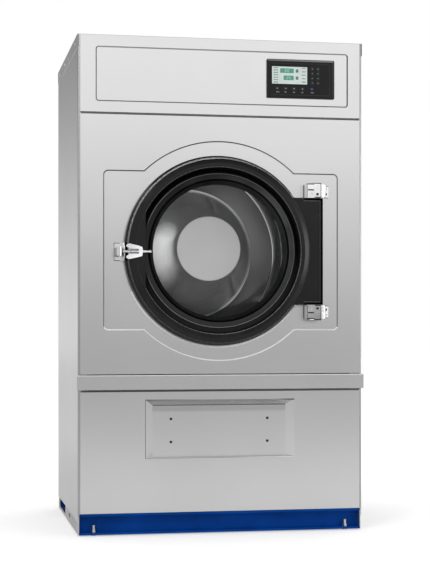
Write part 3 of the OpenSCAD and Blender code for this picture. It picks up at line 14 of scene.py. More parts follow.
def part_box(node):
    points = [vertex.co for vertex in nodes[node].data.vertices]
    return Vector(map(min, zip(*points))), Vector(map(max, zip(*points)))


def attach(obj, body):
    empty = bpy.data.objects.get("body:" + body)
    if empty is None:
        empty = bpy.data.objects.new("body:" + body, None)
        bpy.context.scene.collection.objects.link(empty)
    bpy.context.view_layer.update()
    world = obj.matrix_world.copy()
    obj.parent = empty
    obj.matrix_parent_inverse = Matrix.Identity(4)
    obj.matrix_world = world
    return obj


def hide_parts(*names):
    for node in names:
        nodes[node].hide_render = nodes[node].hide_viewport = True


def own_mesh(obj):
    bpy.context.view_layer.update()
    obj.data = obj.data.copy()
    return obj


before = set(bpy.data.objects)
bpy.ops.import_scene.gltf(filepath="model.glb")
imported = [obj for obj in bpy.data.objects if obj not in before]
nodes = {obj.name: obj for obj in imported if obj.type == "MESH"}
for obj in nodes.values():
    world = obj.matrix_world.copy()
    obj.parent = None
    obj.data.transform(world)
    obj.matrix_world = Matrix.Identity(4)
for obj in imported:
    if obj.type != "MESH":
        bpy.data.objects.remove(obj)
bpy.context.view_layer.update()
scene = bpy.context.scene

# %% [markdown]
# ## Camera
# The photograph was taken with a long lens, from well in front and somewhat to the left, at the
# height of the glass's lower edge. Its upright lines stay parallel, so the camera is level and the
# picture is shifted, as with a view camera. Focal length, place and turn come from fitting the
# cabinet's corners; the shift keeps the horizon where the photograph has it.

# %% Camera
view = bpy.data.cameras.new("view")
camera = bpy.data.objects.new("camera", view)
scene.collection.objects.link(camera)
scene.camera = camera
FRAME_H, FOCAL, HORIZON = 573, 1490.8, 324.8  # height, focal length and horizon's row, in pixels
TURN = -0.18602  # radians about the upright; the camera looks a little to the right
view.sensor_width = 36.0
view.lens = FOCAL / FRAME_H * view.sensor_width
view.shift_y = (HORIZON - FRAME_H / 2) / FRAME_H
view.clip_end = 100
camera.location = (-1.1065, -6.1854, 0.8144)
camera.rotation_euler = (math.pi / 2, 0, TURN)
print("lens:", round(view.lens, 1), "mm, shift:", round(view.shift_y, 4))

# %% [markdown]
# ## A small kit for node materials
# Every finish here is a Principled shader with a few textures in front of it. `Wiring` makes nodes
# in any tree and links them. `Finish` adds what a material needs and reads Object coordinates, so
# that a pattern stays put when a body moves.

# %% Node helpers
class Wiring:
    def __init__(self, tree):
        self.tree = tree

    def node(self, kind, inputs=None, **settings):
        """An input takes a value, or the socket that feeds it."""
        made = self.tree.nodes.new(kind)
        for key, value in settings.items():
            setattr(made, key, value)
        for key, value in (inputs or {}).items():
            if isinstance(value, bpy.types.NodeSocket):
                self.tree.links.new(value, made.inputs[key])
            else:
                made.inputs[key].default_value = value
        return made

    def calc(self, operation, a, b):
        return self.node("ShaderNodeMath", {0: a, 1: b}, operation=operation).outputs[0]


class Finish(Wiring):
    def __init__(self, name, **sockets):
        self.material = bpy.data.materials.new(name)
        self.material.use_nodes = True
        super().__init__(self.material.node_tree)
        self.shader = self.tree.nodes["Principled BSDF"]
        for key, value in sockets.items():
            self.shader.inputs[key.replace("_", " ")].default_value = value

    def place(self, scale=(1, 1, 1), centre=(0, 0, 0)):
        where = self.node("ShaderNodeTexCoord").outputs["Object"]
        shift = [-c * s for c, s in zip(centre, scale)]
        inputs = {"Vector": where, "Scale": scale, "Location": shift}
        return self.node("ShaderNodeMapping", inputs).outputs["Vector"]

    def noise(self, where, scale, detail=3.0, rough=0.5):
        made = self.node(
            "ShaderNodeTexNoise",
            {"Vector": where, "Scale": scale, "Detail": detail, "Roughness": rough},
        )
        return made.outputs["Fac"]

    def ramp(self, value, stops):
        made = self.node("ShaderNodeValToRGB", {"Fac": value})
        bar = made.color_ramp.elements
        while len(bar) < len(stops):
            bar.new(0.5)
        for element, (at, colour) in zip(bar, stops):
            element.position = at
            element.color = (*colour, 1) if isinstance(colour, tuple) else grey(colour)
        return made.outputs["Color"]

    def bump(self, height, strength, distance):
        made = self.node(
            "ShaderNodeBump", {"Height": height, "Strength": strength, "Distance": distance}
        )
        self.tree.links.new(made.outputs["Normal"], self.shader.inputs["Normal"])

    def link(self, value, socket):
        self.tree.links.new(value, self.shader.inputs[socket])


def grey(level):
    return (level, level, level, 1)


print("node kit ready")

# %% [markdown]
# ## Brushed stainless sheet
# The panels are satin stainless steel. Rolling and brushing leave long fine scratches, and the
# polish varies in broad soft clouds. The scratches are noise squeezed along the brushing
# direction; they drive the roughness and a very shallow bump. The clouds shift the tone a little.

# %% Stainless finishes
def stainless(name, tone, along, rough=0.28, cloud=0.015, shade=None):
    """shade lists (axis, stops) of painted shade: tone factors along X, Y or Z in metres; the
    largest one counts.
    """
    steel = Finish(name, Metallic=1.0, Roughness=rough)
    stretch = {"x": (1.5, 160, 420), "z": (420, 160, 1.5), "y": (420, 1.5, 160)}[along]
    scratches = steel.noise(steel.place(stretch), 1.0, 4.0, 0.6)
    clouds = steel.noise(steel.place(), 2.2, 2.0, 0.45)
    streaks = steel.ramp(scratches, [(0.3, 0.494), (0.7, 0.506)])
    mixed = steel.calc("MULTIPLY", clouds, streaks)
    colour = steel.ramp(mixed, [(0.17, tone - cloud), (0.33, tone + cloud)])
    # painted shade: the tone is multiplied by factors that depend on place
    if shade:
        apart, factor = steel.node("ShaderNodeSeparateXYZ", {"Vector": steel.place()}), 0.0
        for axis, stops in shade:
            # A ramp takes 0 to 1, so places from -1 m to 1 m are brought into that range.
            half = steel.calc("MULTIPLY", steel.calc("ADD", apart.outputs[axis], 1.0), 0.5)
            level = steel.ramp(half, [((1 + place) / 2, tone_there) for place, tone_there in stops])
            factor = steel.calc("MAXIMUM", level, factor)
        colour = steel.calc("MULTIPLY", colour, factor)
    steel.link(colour, "Base Color")
    steel.link(steel.ramp(scratches, [(0.25, rough - 0.006), (0.75, rough + 0.006)]), "Roughness")
    steel.bump(scratches, 0.004, 0.0003)
    return steel.material


panel_steel = stainless("panel steel", 0.60, "x", rough=0.22)
# Painted shade: the side sheets are darker where their edge turns round the front corner.
fold_painted_shade = [("Y", [(-0.4540, 0.62), (-0.4470, 1.0)])]
side_steel = stainless("side steel", 0.58, "z", shade=fold_painted_shade)
# Painted shadow of the lip: in the drawer front, only the recess's back wall is darkened, towards
# its top.
lip_painted_shadow = [("Y", [(-0.4369, 1.0), (-0.4363, 0.0)]), ("Z", [(0.474, 1.0), (0.4985, 0.25)])]
drawer_steel = stainless("drawer steel", 0.60, "x", rough=0.22, shade=lip_painted_shadow)
zinc_sheet = stainless("zinc sheet", 0.50, "y", rough=0.42, cloud=0.07)
pipe_steel = stainless("pipe steel", 0.45, "y", rough=0.38)
print("sheet finishes made")

# %% [markdown]
# ## Polished drum steel
# The drum and its hub cone are polished round and round on a lathe, so their highlights open into
# bright and dark wedges. An anisotropic shader with a radial tangent about the drum's axis gives
# that, with fine rings of noise for the turning marks. On the cone, painted shade darkens the side
# away from the light and the flat plate round it.

# %% Drum finishes
drum_low, drum_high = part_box("drum_shell")
drum_centre = (drum_low + drum_high) / 2
CONE_FOOT = (0.279, 0.284)  # radii between which the cone runs into the flat plate


def turned_steel(name, tone, rough, anisotropic, painted_shade_to=1.0, metal=1.0, rim=1.0):
    """painted_shade_to darkens the side away from the light, rim the flat plate outside the cone:
    both are painted shade.
    """
    steel = Finish(name, Metallic=metal, Roughness=rough, Anisotropic=anisotropic)
    where = steel.place(centre=drum_centre)
    apart = steel.node("ShaderNodeSeparateXYZ", {"Vector": where})
    across, deep = apart.outputs["X"], apart.outputs["Y"]
    flat = steel.node("ShaderNodeCombineXYZ", {"X": across, "Y": apart.outputs["Z"]}).outputs[0]
    ring = steel.node("ShaderNodeVectorMath", {0: flat}, operation="LENGTH").outputs["Value"]
    turned = steel.node("ShaderNodeCombineXYZ", {"X": ring, "Y": deep}).outputs[0]
    marks = steel.noise(turned, 60.0, 6.0, 0.65)
    clouds = steel.noise(where, 6.0, 3.0, 0.5)
    cloudy = steel.ramp(clouds, [(0.3, tone - 0.06), (0.7, tone + 0.05)])
    # painted shade: the tone falls on the side away from the light, and on the flat plate outside
    # the cone
    side_painted_shade = steel.ramp(steel.calc("ADD", across, 0.5), [(0.28, 1.0), (0.42, painted_shade_to)])
    outside = steel.ramp(ring, [(CONE_FOOT[0], 1.0), (CONE_FOOT[1], rim)])
    cone_and_plate_shade = steel.calc("MULTIPLY", side_painted_shade, outside)
    steel.link(steel.calc("MULTIPLY", cloudy, cone_and_plate_shade), "Base Color")
    steel.link(steel.ramp(marks, [(0.3, rough - 0.07), (0.7, rough + 0.08)]), "Roughness")
    steel.bump(marks, 0.15, 0.0006)
    tangent = steel.node("ShaderNodeTangent", direction_type="RADIAL", axis="Y")
    steel.link(tangent.outputs["Tangent"], "Tangent")
    return steel.material


drum_steel = turned_steel("drum steel", 0.90, 0.20, 0.6, metal=0.85)
# the cone's painted shade: 0.7 on the side away from the light, 0.28 on the flat plate
cone_steel = turned_steel("cone steel", 0.94, 0.18, 0.5, painted_shade_to=0.7, metal=0.75, rim=0.28)
hub_steel = stainless("hub steel", 0.425, "x", rough=0.7, cloud=0.01)
print("drum centre:", [round(v, 3) for v in drum_centre])

# %% [markdown]
# ## Paints, plastics, rubber and the rest
# The door is a satin black moulding with a faint grain. Rubber is duller, with a wider grain. The
# base is blue paint over rolled channel, so it gets a slight orange peel and chips of tone. Chrome
# is nearly a mirror, with smears in its roughness.

# %% Painted and moulded finishes
def coated(name, colour, rough, grain, relief, wear=0.0, metal=0.0, gloss=0.5):
    """Broad clouds vary the colour and the roughness, wear widens them; the grain is a bump."""
    made = Finish(name, Metallic=metal, Roughness=rough, Specular_IOR_Level=gloss)
    where = made.place()
    fine = made.noise(where, grain, 2.0, 0.5)
    broad = made.noise(where, 7.0, 3.0, 0.55)
    dark = tuple(c * (1 - 0.18 - wear) for c in colour)
    light = tuple(min(1.0, c * (1.12 + wear) + 0.002) for c in colour)
    made.link(made.ramp(broad, [(0.3, dark), (0.7, light)]), "Base Color")
    made.link(made.ramp(broad, [(0.3, max(0.02, rough - 0.04)), (0.7, rough + 0.06)]), "Roughness")
    made.bump(fine, relief, 0.0004)
    return made.material


door_black = coated("door black", (0.0055, 0.0058, 0.0065), 0.22, 900.0, 0.05, gloss=0.24)
wing_black = coated("panel black", (0.009, 0.009, 0.0095), 0.30, 900.0, 0.03, gloss=0.18)
soft_rubber = coated("rubber", (0.02, 0.02, 0.021), 0.62, 400.0, 0.15)
blue_paint = coated("blue paint", (0.0003, 0.062, 0.340), 0.45, 260.0, 0.08, 0.03, gloss=0.06)
motor_paint = coated("motor paint", (0.05, 0.07, 0.11), 0.45, 260.0, 0.12, 0.08)
cast_paint = coated("cast iron", (0.07, 0.075, 0.08), 0.6, 180.0, 0.3, 0.1, metal=0.3)
felt_grey = coated("felt", (0.14, 0.13, 0.115), 0.95, 500.0, 0.8, 0.1)
copper = coated("copper tube", (0.72, 0.30, 0.16), 0.28, 300.0, 0.04, 0.05, metal=1.0)
brass = coated("cast brass", (0.62, 0.42, 0.15), 0.38, 260.0, 0.15, 0.06, metal=1.0)
fin_metal = coated("fin metal", (0.62, 0.63, 0.65), 0.35, 300.0, 0.04, 0.02, metal=1.0)
zinc_plate = coated("zinc plate", (0.56, 0.55, 0.52), 0.30, 500.0, 0.05, 0.05, metal=1.0)
chrome = coated("chrome", (0.72, 0.72, 0.73), 0.10, 300.0, 0.01, 0.02, metal=1.0)
satin_chrome = coated("satin chrome", (0.86, 0.86, 0.87), 0.34, 300.0, 0.02, 0.02, metal=1.0)
box_grey = coated("box grey", (0.12, 0.125, 0.135), 0.55, 600.0, 0.12)
gland_black = coated("gland black", (0.015, 0.015, 0.017), 0.5, 600.0, 0.1)
print("coated finishes made")

# %% [markdown]
# ## Glass
# The porthole is clear toughened glass. A glossy surface with a very low alpha shows the drum
# behind it and still mirrors the studio. Alpha keeps it simple to export. The display glows a
# little, so that its pale field stays readable in the black bezel.

# %% Glass and display
glass = Finish("door glass", Metallic=0.0, Roughness=0.03, Alpha=0.07, IOR=1.5)
glass_stops = [(0.3, (0.010, 0.012, 0.013)), (0.7, (0.016, 0.018, 0.018))]
glass.link(glass.ramp(glass.noise(glass.place(), 3.0), glass_stops), "Base Color")
glass.material.surface_render_method = "BLENDED"
lcd = Finish("display", Roughness=0.18, Emission_Strength=0.25)
lcd_stops = [(0.3, (0.52, 0.60, 0.57)), (0.7, (0.57, 0.65, 0.62))]
lcd_tone = lcd.ramp(lcd.noise(lcd.place(), 30.0), lcd_stops)
lcd.link(lcd_tone, "Base Color")
lcd.link(lcd_tone, "Emission Color")
print("glass and display made")

# %% [markdown]
# ## A finish for every solid
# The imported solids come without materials. One table names the nodes that share a finish, because
# a node that was forgotten then shows up in the list printed at the end.

# %% Give every solid its finish
FINISHES = {
    blue_paint: ["base_front_channel", "base_rear_channel"],
    zinc_sheet: [
        "base_side_rails", "floor_plate", "frame", "rear_bulkhead", "drum_casing", "air_ducts",
        "lint_chamber", "drawer_runners", "fan_housing", "control_box", "drawer_tray",
    ],
    panel_steel: ["header_panel", "front_panel", "front_rail"],
    drawer_steel: ["drawer_front"],
    side_steel: ["left_side_panel", "right_side_panel", "top_cover", "rear_panel"],
    pipe_steel: ["steam_pipe", "condensate_pipe", "exhaust_collar", "front_neck", "glass_clamp"],
    drum_steel: ["drum_shell", "drum_lifters"],
    cone_steel: ["drum_back"],
    hub_steel: ["hub_cap"],
    door_black: ["door_frame"],
    wing_black: ["control_bezel"],
    soft_rubber: ["door_seal", "glass_gasket", "drive_belt"],
    felt_grey: ["neck_felt"],
    motor_paint: ["fan_motor", "drive_motor"],
    cast_paint: ["bearing_housing", "drum_shaft", "drum_pulley", "motor_pulley"],
    copper: ["coil_tubes"],
    brass: ["steam_valve"],
    fin_metal: ["coil_fins", "fan_impeller"],
    zinc_plate: ["jack_screws", "panel_screws"],
    chrome: ["latch_keeper", "hinge_arms", "latch_bolt", "latch_spring", "shaft_bearings"],
    satin_chrome: ["latch_body", "hinge_leaves", "hinge_pins"],
    box_grey: ["terminal_box"],
    gland_black: ["cable_gland"],
    glass.material: ["door_glass"],
    lcd.material: ["display_window"],
}
for material, names in FINISHES.items():
    for name in names:
        mesh = nodes[name].data
        mesh.materials.clear()
        mesh.materials.append(material)
bare = set(nodes) - {name for names in FINISHES.values() for name in names}
print("nodes without a finish:", sorted(bare))

# %% [markdown]
# ## Repeated pieces with Geometry Nodes
# Perforations, rear screws and printed keys repeat by rule, so each kind is drawn once and placed
# on points. One tree does it: a mesh of points with a facing attribute, an instance on each point,
# then Realize Instances and Set Material. `scatter` bakes the result to a plain mesh, because a
# modifier's instances don't leave the file.

# %% Instance tree
def plain_object(name, mesh):
    made = bpy.data.objects.new(name, mesh)
    scene.collection.objects.link(made)
    return made


def scatter_tree():
    tree = bpy.data.node_groups.new("place on points", "GeometryNodeTree")
    face = tree.interface
    takes = {"Points": "Geometry", "Shape": "Object", "Jitter": "Float", "Finish": "Material"}
    for name, kind in takes.items():
        face.new_socket(name, in_out="INPUT", socket_type="NodeSocket" + kind)
    face.new_socket("Result", in_out="OUTPUT", socket_type="NodeSocketGeometry")
    wiring = Wiring(tree)
    add, given = wiring.node, wiring.node("NodeGroupInput").outputs
    shape = add("GeometryNodeObjectInfo", {"Object": given["Shape"]}).outputs["Geometry"]
    facing = add("GeometryNodeInputNamedAttribute", {"Name": "facing"}, data_type="FLOAT_VECTOR")
    where_to = {"Vector": facing.outputs["Attribute"]}
    align = add("FunctionNodeAlignRotationToVector", where_to, axis="Z").outputs["Rotation"]
    between = {"Seed": 7, 2: wiring.calc("MULTIPLY", given["Jitter"], -1.0), 3: given["Jitter"]}
    spin = add("FunctionNodeRandomValue", between, data_type="FLOAT").outputs[1]
    twist = add("FunctionNodeAxisAngleToRotation", {"Axis": (0, 0, 1), "Angle": spin})
    both = {"Rotation": align, "Rotate By": twist.outputs["Rotation"]}
    turn = add("FunctionNodeRotateRotation", both, rotation_space="LOCAL").outputs["Rotation"]
    copies = {"Points": given["Points"], "Instance": shape, "Rotation": turn}
    placed = add("GeometryNodeInstanceOnPoints", copies).outputs["Instances"]
    real = add("GeometryNodeRealizeInstances", {"Geometry": placed}).outputs["Geometry"]
    painted = add("GeometryNodeSetMaterial", {"Geometry": real, "Material": given["Finish"]})
    add("NodeGroupOutput", {"Result": painted.outputs["Geometry"]})
    sockets = {item.name: item.identifier for item in face.items_tree if item.in_out == "INPUT"}
    return tree, sockets


TREE, SOCKET = scatter_tree()


def scatter(name, shape, points, material, body, jitter=0.0):
    """points is a list of (place, facing); jitter turns each copy by up to that many radians."""
    mesh = bpy.data.meshes.new(name + "_points")
    mesh.from_pydata([p for p, _ in points], [], [])
    facing = mesh.attributes.new("facing", "FLOAT_VECTOR", "POINT")
    facing.data.foreach_set("vector", [v for _, f in points for v in f])
    carrier = plain_object(name + "_points", mesh)
    modifier = carrier.modifiers.new("place", "NODES")
    modifier.node_group = TREE
    modifier[SOCKET["Shape"]] = shape
    modifier[SOCKET["Jitter"]] = jitter
    modifier[SOCKET["Finish"]] = material
    bpy.context.view_layer.update()
    ready = carrier.evaluated_get(bpy.context.evaluated_depsgraph_get())
    baked = bpy.data.meshes.new_from_object(ready)
    baked.name = name
    for old in [a for a in baked.attributes if a.name == "facing"]:
        baked.attributes.remove(old)
    bpy.data.objects.remove(carrier)
    made = plain_object(name, baked)
    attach(made, body)
    print(name + ":", len(points), "copies,", len(baked.polygons), "faces")


print("instance inputs:", sorted(SOCKET))

# %% [markdown]
# ## Shapes to repeat
# Each shape is drawn about the origin and looks along +Z. A screw head is a shallow dome with a
# thin cross on its top; a perforation is a small disc with a sloping rim.

# %% Shape helpers
def from_bmesh(name, bm, smooth=False):
    bmesh.ops.remove_doubles(bm, verts=bm.verts, dist=1e-6)
    bmesh.ops.recalc_face_normals(bm, faces=bm.faces)
    mesh = bpy.data.meshes.new(name)
    bm.to_mesh(mesh)
    bm.free()
    for polygon in mesh.polygons:
        polygon.use_smooth = smooth
    return mesh


def lathe(name, profile, steps, smooth=True):
    """Turns (radius, height) points about Z."""
    bm = bmesh.new()
    rings = []
    for radius, height in profile:
        if radius == 0:
            rings.append([bm.verts.new((0, 0, height))] * steps)
        else:
            rings.append([
                bm.verts.new((radius * math.cos(turn), radius * math.sin(turn), height))
                for turn in (2 * math.pi * i / steps for i in range(steps))
            ])
    for low, high in zip(rings, rings[1:]):
        for i in range(steps):
            corners = [low[i], low[(i + 1) % steps], high[(i + 1) % steps], high[i]]
            unique = list(dict.fromkeys(corners))
            if len(unique) > 2:
                bm.faces.new(unique)
    return from_bmesh(name, bm, smooth)


def hidden_shape(name, mesh):
    """A source shape for instances: kept out of the scene's collection."""
    return bpy.data.objects.new(name, mesh)


def screw_mesh(radius, height):
    bm = bmesh.new()
    bm.from_mesh(lathe("head", [
        (radius, 0), (radius, 0.45 * height), (0.82 * radius, 0.85 * height),
        (0.5 * radius, height), (0, height),
    ], 16))
    for turn in (0, math.pi / 2):
        slot = bmesh.ops.create_cube(bm, size=1)["verts"]
        bmesh.ops.scale(bm, vec=(1.1 * radius, 0.18 * radius, 0.06 * height), verts=slot)
        bmesh.ops.translate(bm, vec=(0, 0, height * 0.995), verts=slot)
        bmesh.ops.rotate(bm, cent=(0, 0, 0), matrix=Matrix.Rotation(turn, 3, "Z"), verts=slot)
    mesh = bpy.data.meshes.new("screw")
    bm.to_mesh(mesh)
    bm.free()
    return mesh


SCREW = hidden_shape("screw", screw_mesh(0.0048, 0.0026))
HOLE = hidden_shape("hole", lathe("hole", [(0.0042, 0), (0.0034, 0.0002), (0, 0.0002)], 8, False))
print("shapes drawn")

# %% [markdown]
# ## Drum perforations
# The drum's wall is full of small holes in staggered rows, pressed before the sheet is rolled. At
# this distance they read as rows of dark dots, so each is a small disc of painted shade just inside
# the wall, facing the axis, for the shade seen through the hole. The rows skip the lifters' feet.

# %% Perforated wall
# painted shade: the dark seen through each perforation
hole_shade = coated("hole shade", (0.012, 0.012, 0.013), 0.7, 400.0, 0.05)
SHEET, CLEAR = 0.0015, 0.0004  # the wall's thickness and the discs' distance from it
FROM_REAR, HALF_FOOT = 0.02, 0.066  # the first row's place and what a lifter's foot keeps free
wall_r = (drum_high.x - drum_low.x) / 2 - SHEET - CLEAR
rows, per_row, pitch = 36, 132, 0.0175
lifter_feet = [math.radians(60 - 90 * n) for n in range(4)]
perforation = []
for row in range(rows):
    y = drum_high.y - FROM_REAR - row * pitch
    for i in range(per_row):
        a = 2 * math.pi * (i + 0.5 * (row % 2)) / per_row
        near = min(abs((a - f + math.pi) % (2 * math.pi) - math.pi) for f in lifter_feet)
        if near * wall_r < HALF_FOOT:
            continue
        inward = Vector((-math.cos(a), 0, -math.sin(a)))
        perforation.append((Vector((drum_centre.x, y, drum_centre.z)) - inward * wall_r, inward))
scatter("drum_perforation", HOLE, perforation, hole_shade, "drum")

# %% [markdown]
# ## Screws that hold the sheets
# The rear panel and the exhaust collar are screwed on. The heads sit on the sheet in even rows,
# each turned a little differently, as a fitter leaves them.

# %% Rear screws
SIDE, FOOT, HEAD, COLLAR = 0.035, 0.03, 0.08, 0.009  # metres from an edge to its screws
COLLAR_FACE = 0.459
rear_low, rear_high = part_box("rear_panel")
tall, wide = rear_high.z - rear_low.z - (FOOT + HEAD), rear_high.x - rear_low.x - 2 * SIDE
spots = [
    (x, rear_high.y, rear_low.z + FOOT + i * tall / 6)
    for i in range(7) for x in (rear_low.x + SIDE, rear_high.x - SIDE)
]
spots += [
    (rear_low.x + SIDE + i * wide / 5, rear_high.y, rear_low.z + FOOT) for i in range(1, 5)
]
collar_low, collar_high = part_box("exhaust_collar")
spots += [
    (x, COLLAR_FACE, z)
    for x in (collar_low.x + COLLAR, collar_high.x - COLLAR)
    for z in (collar_low.z + COLLAR, collar_high.z - COLLAR)
]
rear_points = [(spot, (0, 1, 0)) for spot in spots]
scatter("rear_screws", SCREW, rear_points, zinc_plate, "cabinet", jitter=1.5)

# %% [markdown]
# ## Control panel
# The bezel is a black moulding with a window for the display and a printed membrane. The display
# shows two teal fields with numbers and small lines of text that are too small to read, so they
# are bars. The keys are rounded tiles, three tenths of a millimetre thick, as on a membrane.

# %% Rounded tiles
def tile_mesh(name, width, height, radius, depth, steps=4):
    """A rounded plate in X and Y, from Z 0 to depth."""
    outline = []
    for cx, cy, start in ((1, 1, 0), (-1, 1, 90), (-1, -1, 180), (1, -1, 270)):
        for i in range(steps + 1):
            a = math.radians(start + 90 * i / steps)
            outline.append((
                cx * (width / 2 - radius) + radius * math.cos(a),
                cy * (height / 2 - radius) + radius * math.sin(a),
            ))
    bm = bmesh.new()
    low = [bm.verts.new((x, y, 0)) for x, y in outline]
    high = [bm.verts.new((x, y, depth)) for x, y in outline]
    bm.faces.new(high)
    bm.faces.new(low[::-1])
    for i in range(len(low)):
        j = (i + 1) % len(low)
        bm.faces.new((low[i], low[j], high[j], high[i]))
    return from_bmesh(name, bm)


FACE_FRONT = Matrix.Rotation(math.pi / 2, 4, "X")


def join_front(name, parts, material, body):
    """Joins (mesh, x, y, z) tiles, stood up to face -Y, into one piece."""
    bm = bmesh.new()
    for mesh, x, y, z in parts:
        mesh.transform(Matrix.Translation((x, y, z)) @ FACE_FRONT)
        bm.from_mesh(mesh)
    made = plain_object(name, bpy.data.meshes.new(name))
    bm.to_mesh(made.data)
    bm.free()
    made.data.materials.append(material)
    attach(made, body)
    print(name + ":", len(parts), "tiles")


bezel_low, bezel_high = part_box("control_bezel")
lcd_low, lcd_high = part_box("display_window")
bezel_face = bezel_low.y
lcd_face = lcd_low.y
print("bezel face at", round(bezel_face, 4), "display face at", round(lcd_face, 4))

# %% [markdown]
# ## What the display shows
# A liquid-crystal display darkens small fields behind its window. Here they are thin tiles on the
# window, so that they stay sharp at any distance and need no image.

# %% Display print
teal = coated("teal field", (0.10, 0.36, 0.27), 0.4, 300.0, 0.01)
ink = coated("display ink", (0.16, 0.20, 0.19), 0.5, 300.0, 0.01)
digit = coated("pale digits", (0.72, 0.86, 0.78), 0.4, 300.0, 0.01)
TILE = 0.0002  # thickness of a printed mark
lcd_x, lcd_z = (lcd_low.x + lcd_high.x) / 2, (lcd_low.z + lcd_high.z) / 2
UPPER, LOWER = (lcd_x - 0.011, lcd_z + 0.018), (lcd_x - 0.004, lcd_z - 0.010)
join_front("display_fields", [
    (tile_mesh("field", width, 0.018, 0.001, TILE), x, lcd_face, z)
    for width, (x, z) in ((0.055, UPPER), (0.041, LOWER))
], teal, "cabinet")
bars = []
# rows, their pitch, the middle and the width of each block of small text
text_blocks = ((7, 0.0095, lcd_x - 0.056, 0.019), (5, 0.0135, lcd_x + 0.057, 0.016))
for rows_here, pitch_here, x, width in text_blocks:
    for row in range(rows_here):
        for k in range(3):
            bars.append((
                tile_mesh("bar", width / 4, 0.0040, 0.0005, TILE, 2),
                x + (k - 1) * width / 3, lcd_face, lcd_z + 0.029 - row * pitch_here,
            ))
for _, z in (UPPER, LOWER):
    bars.append((tile_mesh("sign", 0.011, 0.013, 0.003, TILE, 3), lcd_x + 0.030, lcd_face, z))
join_front("display_marks", bars, ink, "cabinet")


def digit_strokes(text, place, size):
    """Seven-segment digits as small bars: a to f clockwise from the top, g in the middle."""
    lit = {"0": "abcdef", "2": "abged", "5": "afgcd", "6": "afgedc"}
    spots = {
        "a": (0, 1, 1), "g": (0, 0, 1), "d": (0, -1, 1),
        "f": (-1, 0.5, 0), "b": (1, 0.5, 0), "e": (-1, -0.5, 0), "c": (1, -0.5, 0),
    }
    strokes, (x, z) = [], place
    for i, letter in enumerate(text):
        cx = x + (i - (len(text) - 1) / 2) * size * 0.85
        for key in lit[letter]:
            dx, dz, flat = spots[key]
            wide, tall = (0.42, 0.11) if flat else (0.11, 0.38)
            strokes.append((
                tile_mesh("stroke", wide * size, tall * size, 0.02 * size, TILE, 1),
                cx + dx * 0.24 * size, lcd_face - TILE, z + dz * 0.42 * size,
            ))
    return strokes


numbers = digit_strokes("60", UPPER, 0.011) + digit_strokes("25", LOWER, 0.011)
join_front("display_digits", numbers, digit, "cabinet")

# %% [markdown]
# ## Membrane keys
# The keys and lamps are printed on the bezel's foil. A raised tile for each key catches a little
# light at its rim, and smaller tiles on top stand for the symbols and captions.

# %% Membrane keys
key_tone = coated("key print", (0.018, 0.019, 0.021), 0.4, 500.0, 0.05, gloss=0.2)
mark_tone = coated("key marks", (0.34, 0.35, 0.36), 0.5, 500.0, 0.02)
violet = coated("violet mark", (0.10, 0.09, 0.45), 0.4, 500.0, 0.02)
KEY_THICK = 0.0003
KEY = hidden_shape("key", tile_mesh("key", 0.016, 0.015, 0.003, KEY_THICK))
key_places = [
    (lcd_x + dx, bezel_face, lcd_z + dz)
    for dz in (0.027, 0.0085, -0.0100, -0.0285) for dx in (0.092, 0.115)
]
led_places = [
    (lcd_x + dx, bezel_face, lcd_z - 0.053) for dx in (-0.050, -0.016, 0.018, 0.052, 0.090)
]
key_points = [(place, (0, -1, 0)) for place in key_places + led_places]
scatter("membrane_keys", KEY, key_points, key_tone, "cabinet")


def key_mark(place, width, height, radius, steps):
    x, y, z = place
    return tile_mesh("mark", width, height, radius, TILE, steps), x, y - KEY_THICK, z + 0.001


marks = [key_mark(place, 0.0032, 0.0032, 0.0015, 3) for place in key_places]
marks += [key_mark(place, 0.0048, 0.0036, 0.001, 2) for place in led_places[:-1]]
for n, (x, y, z) in enumerate(led_places):
    for k in range(3 if n in (0, 4) else 2):  # the outer captions are longer
        caption = tile_mesh("caption", 0.0034, 0.0030, 0.0005, TILE, 1)
        marks.append((caption, x - 0.003 + k * 0.0045, y, z - 0.0135))
join_front("key_marks", marks, mark_tone, "cabinet")
power = [key_mark(led_places[-1], 0.0075, 0.0060, 0.002, 3)]
join_front("power_mark", power, violet, "cabinet")

# %% [markdown]
# ## Pressed edges
# A press leaves a sloping shoulder round each sunk field. The shoulder looks up, down or sideways;
# its shade and highlight are painted, a dark line along the top and a bright one along the bottom.
# Each is a ribbon from the panel's face down to the field, and an attribute holds its painted tone.

# %% Ribbons
# A ribbon's colour is its tone attribute: painted light and shade on most ribbons, plain dark seams
# on a few.
def toned(name, **sockets):
    made = Finish(name, **sockets)
    tone = made.node("ShaderNodeAttribute", attribute_name="tone").outputs["Fac"]
    grain = made.ramp(made.noise(made.place((2, 160, 420)), 1.0), [(0.3, 0.94), (0.7, 1.0)])
    made.link(made.calc("MULTIPLY", tone, grain), "Base Color")
    return made


edge = toned("pressed edge", Roughness=0.38, Metallic=0.25, Specular_IOR_Level=0.3)
# painted light and shade on the pressed edges and the drum's beads
painted_tones = toned("painted light and shade", Roughness=0.5)
# painted shade in the door ring's grooves and on the wing's rim, with no reflection
matt_shade = toned("matt painted shade", Roughness=1.0, Specular_IOR_Level=0.0)
OFF = 0.0002  # how far a ribbon stands off its face, so that the two don't flicker
PANEL_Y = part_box("front_panel")[0].y
FIELD_Y = PANEL_Y + 0.0025


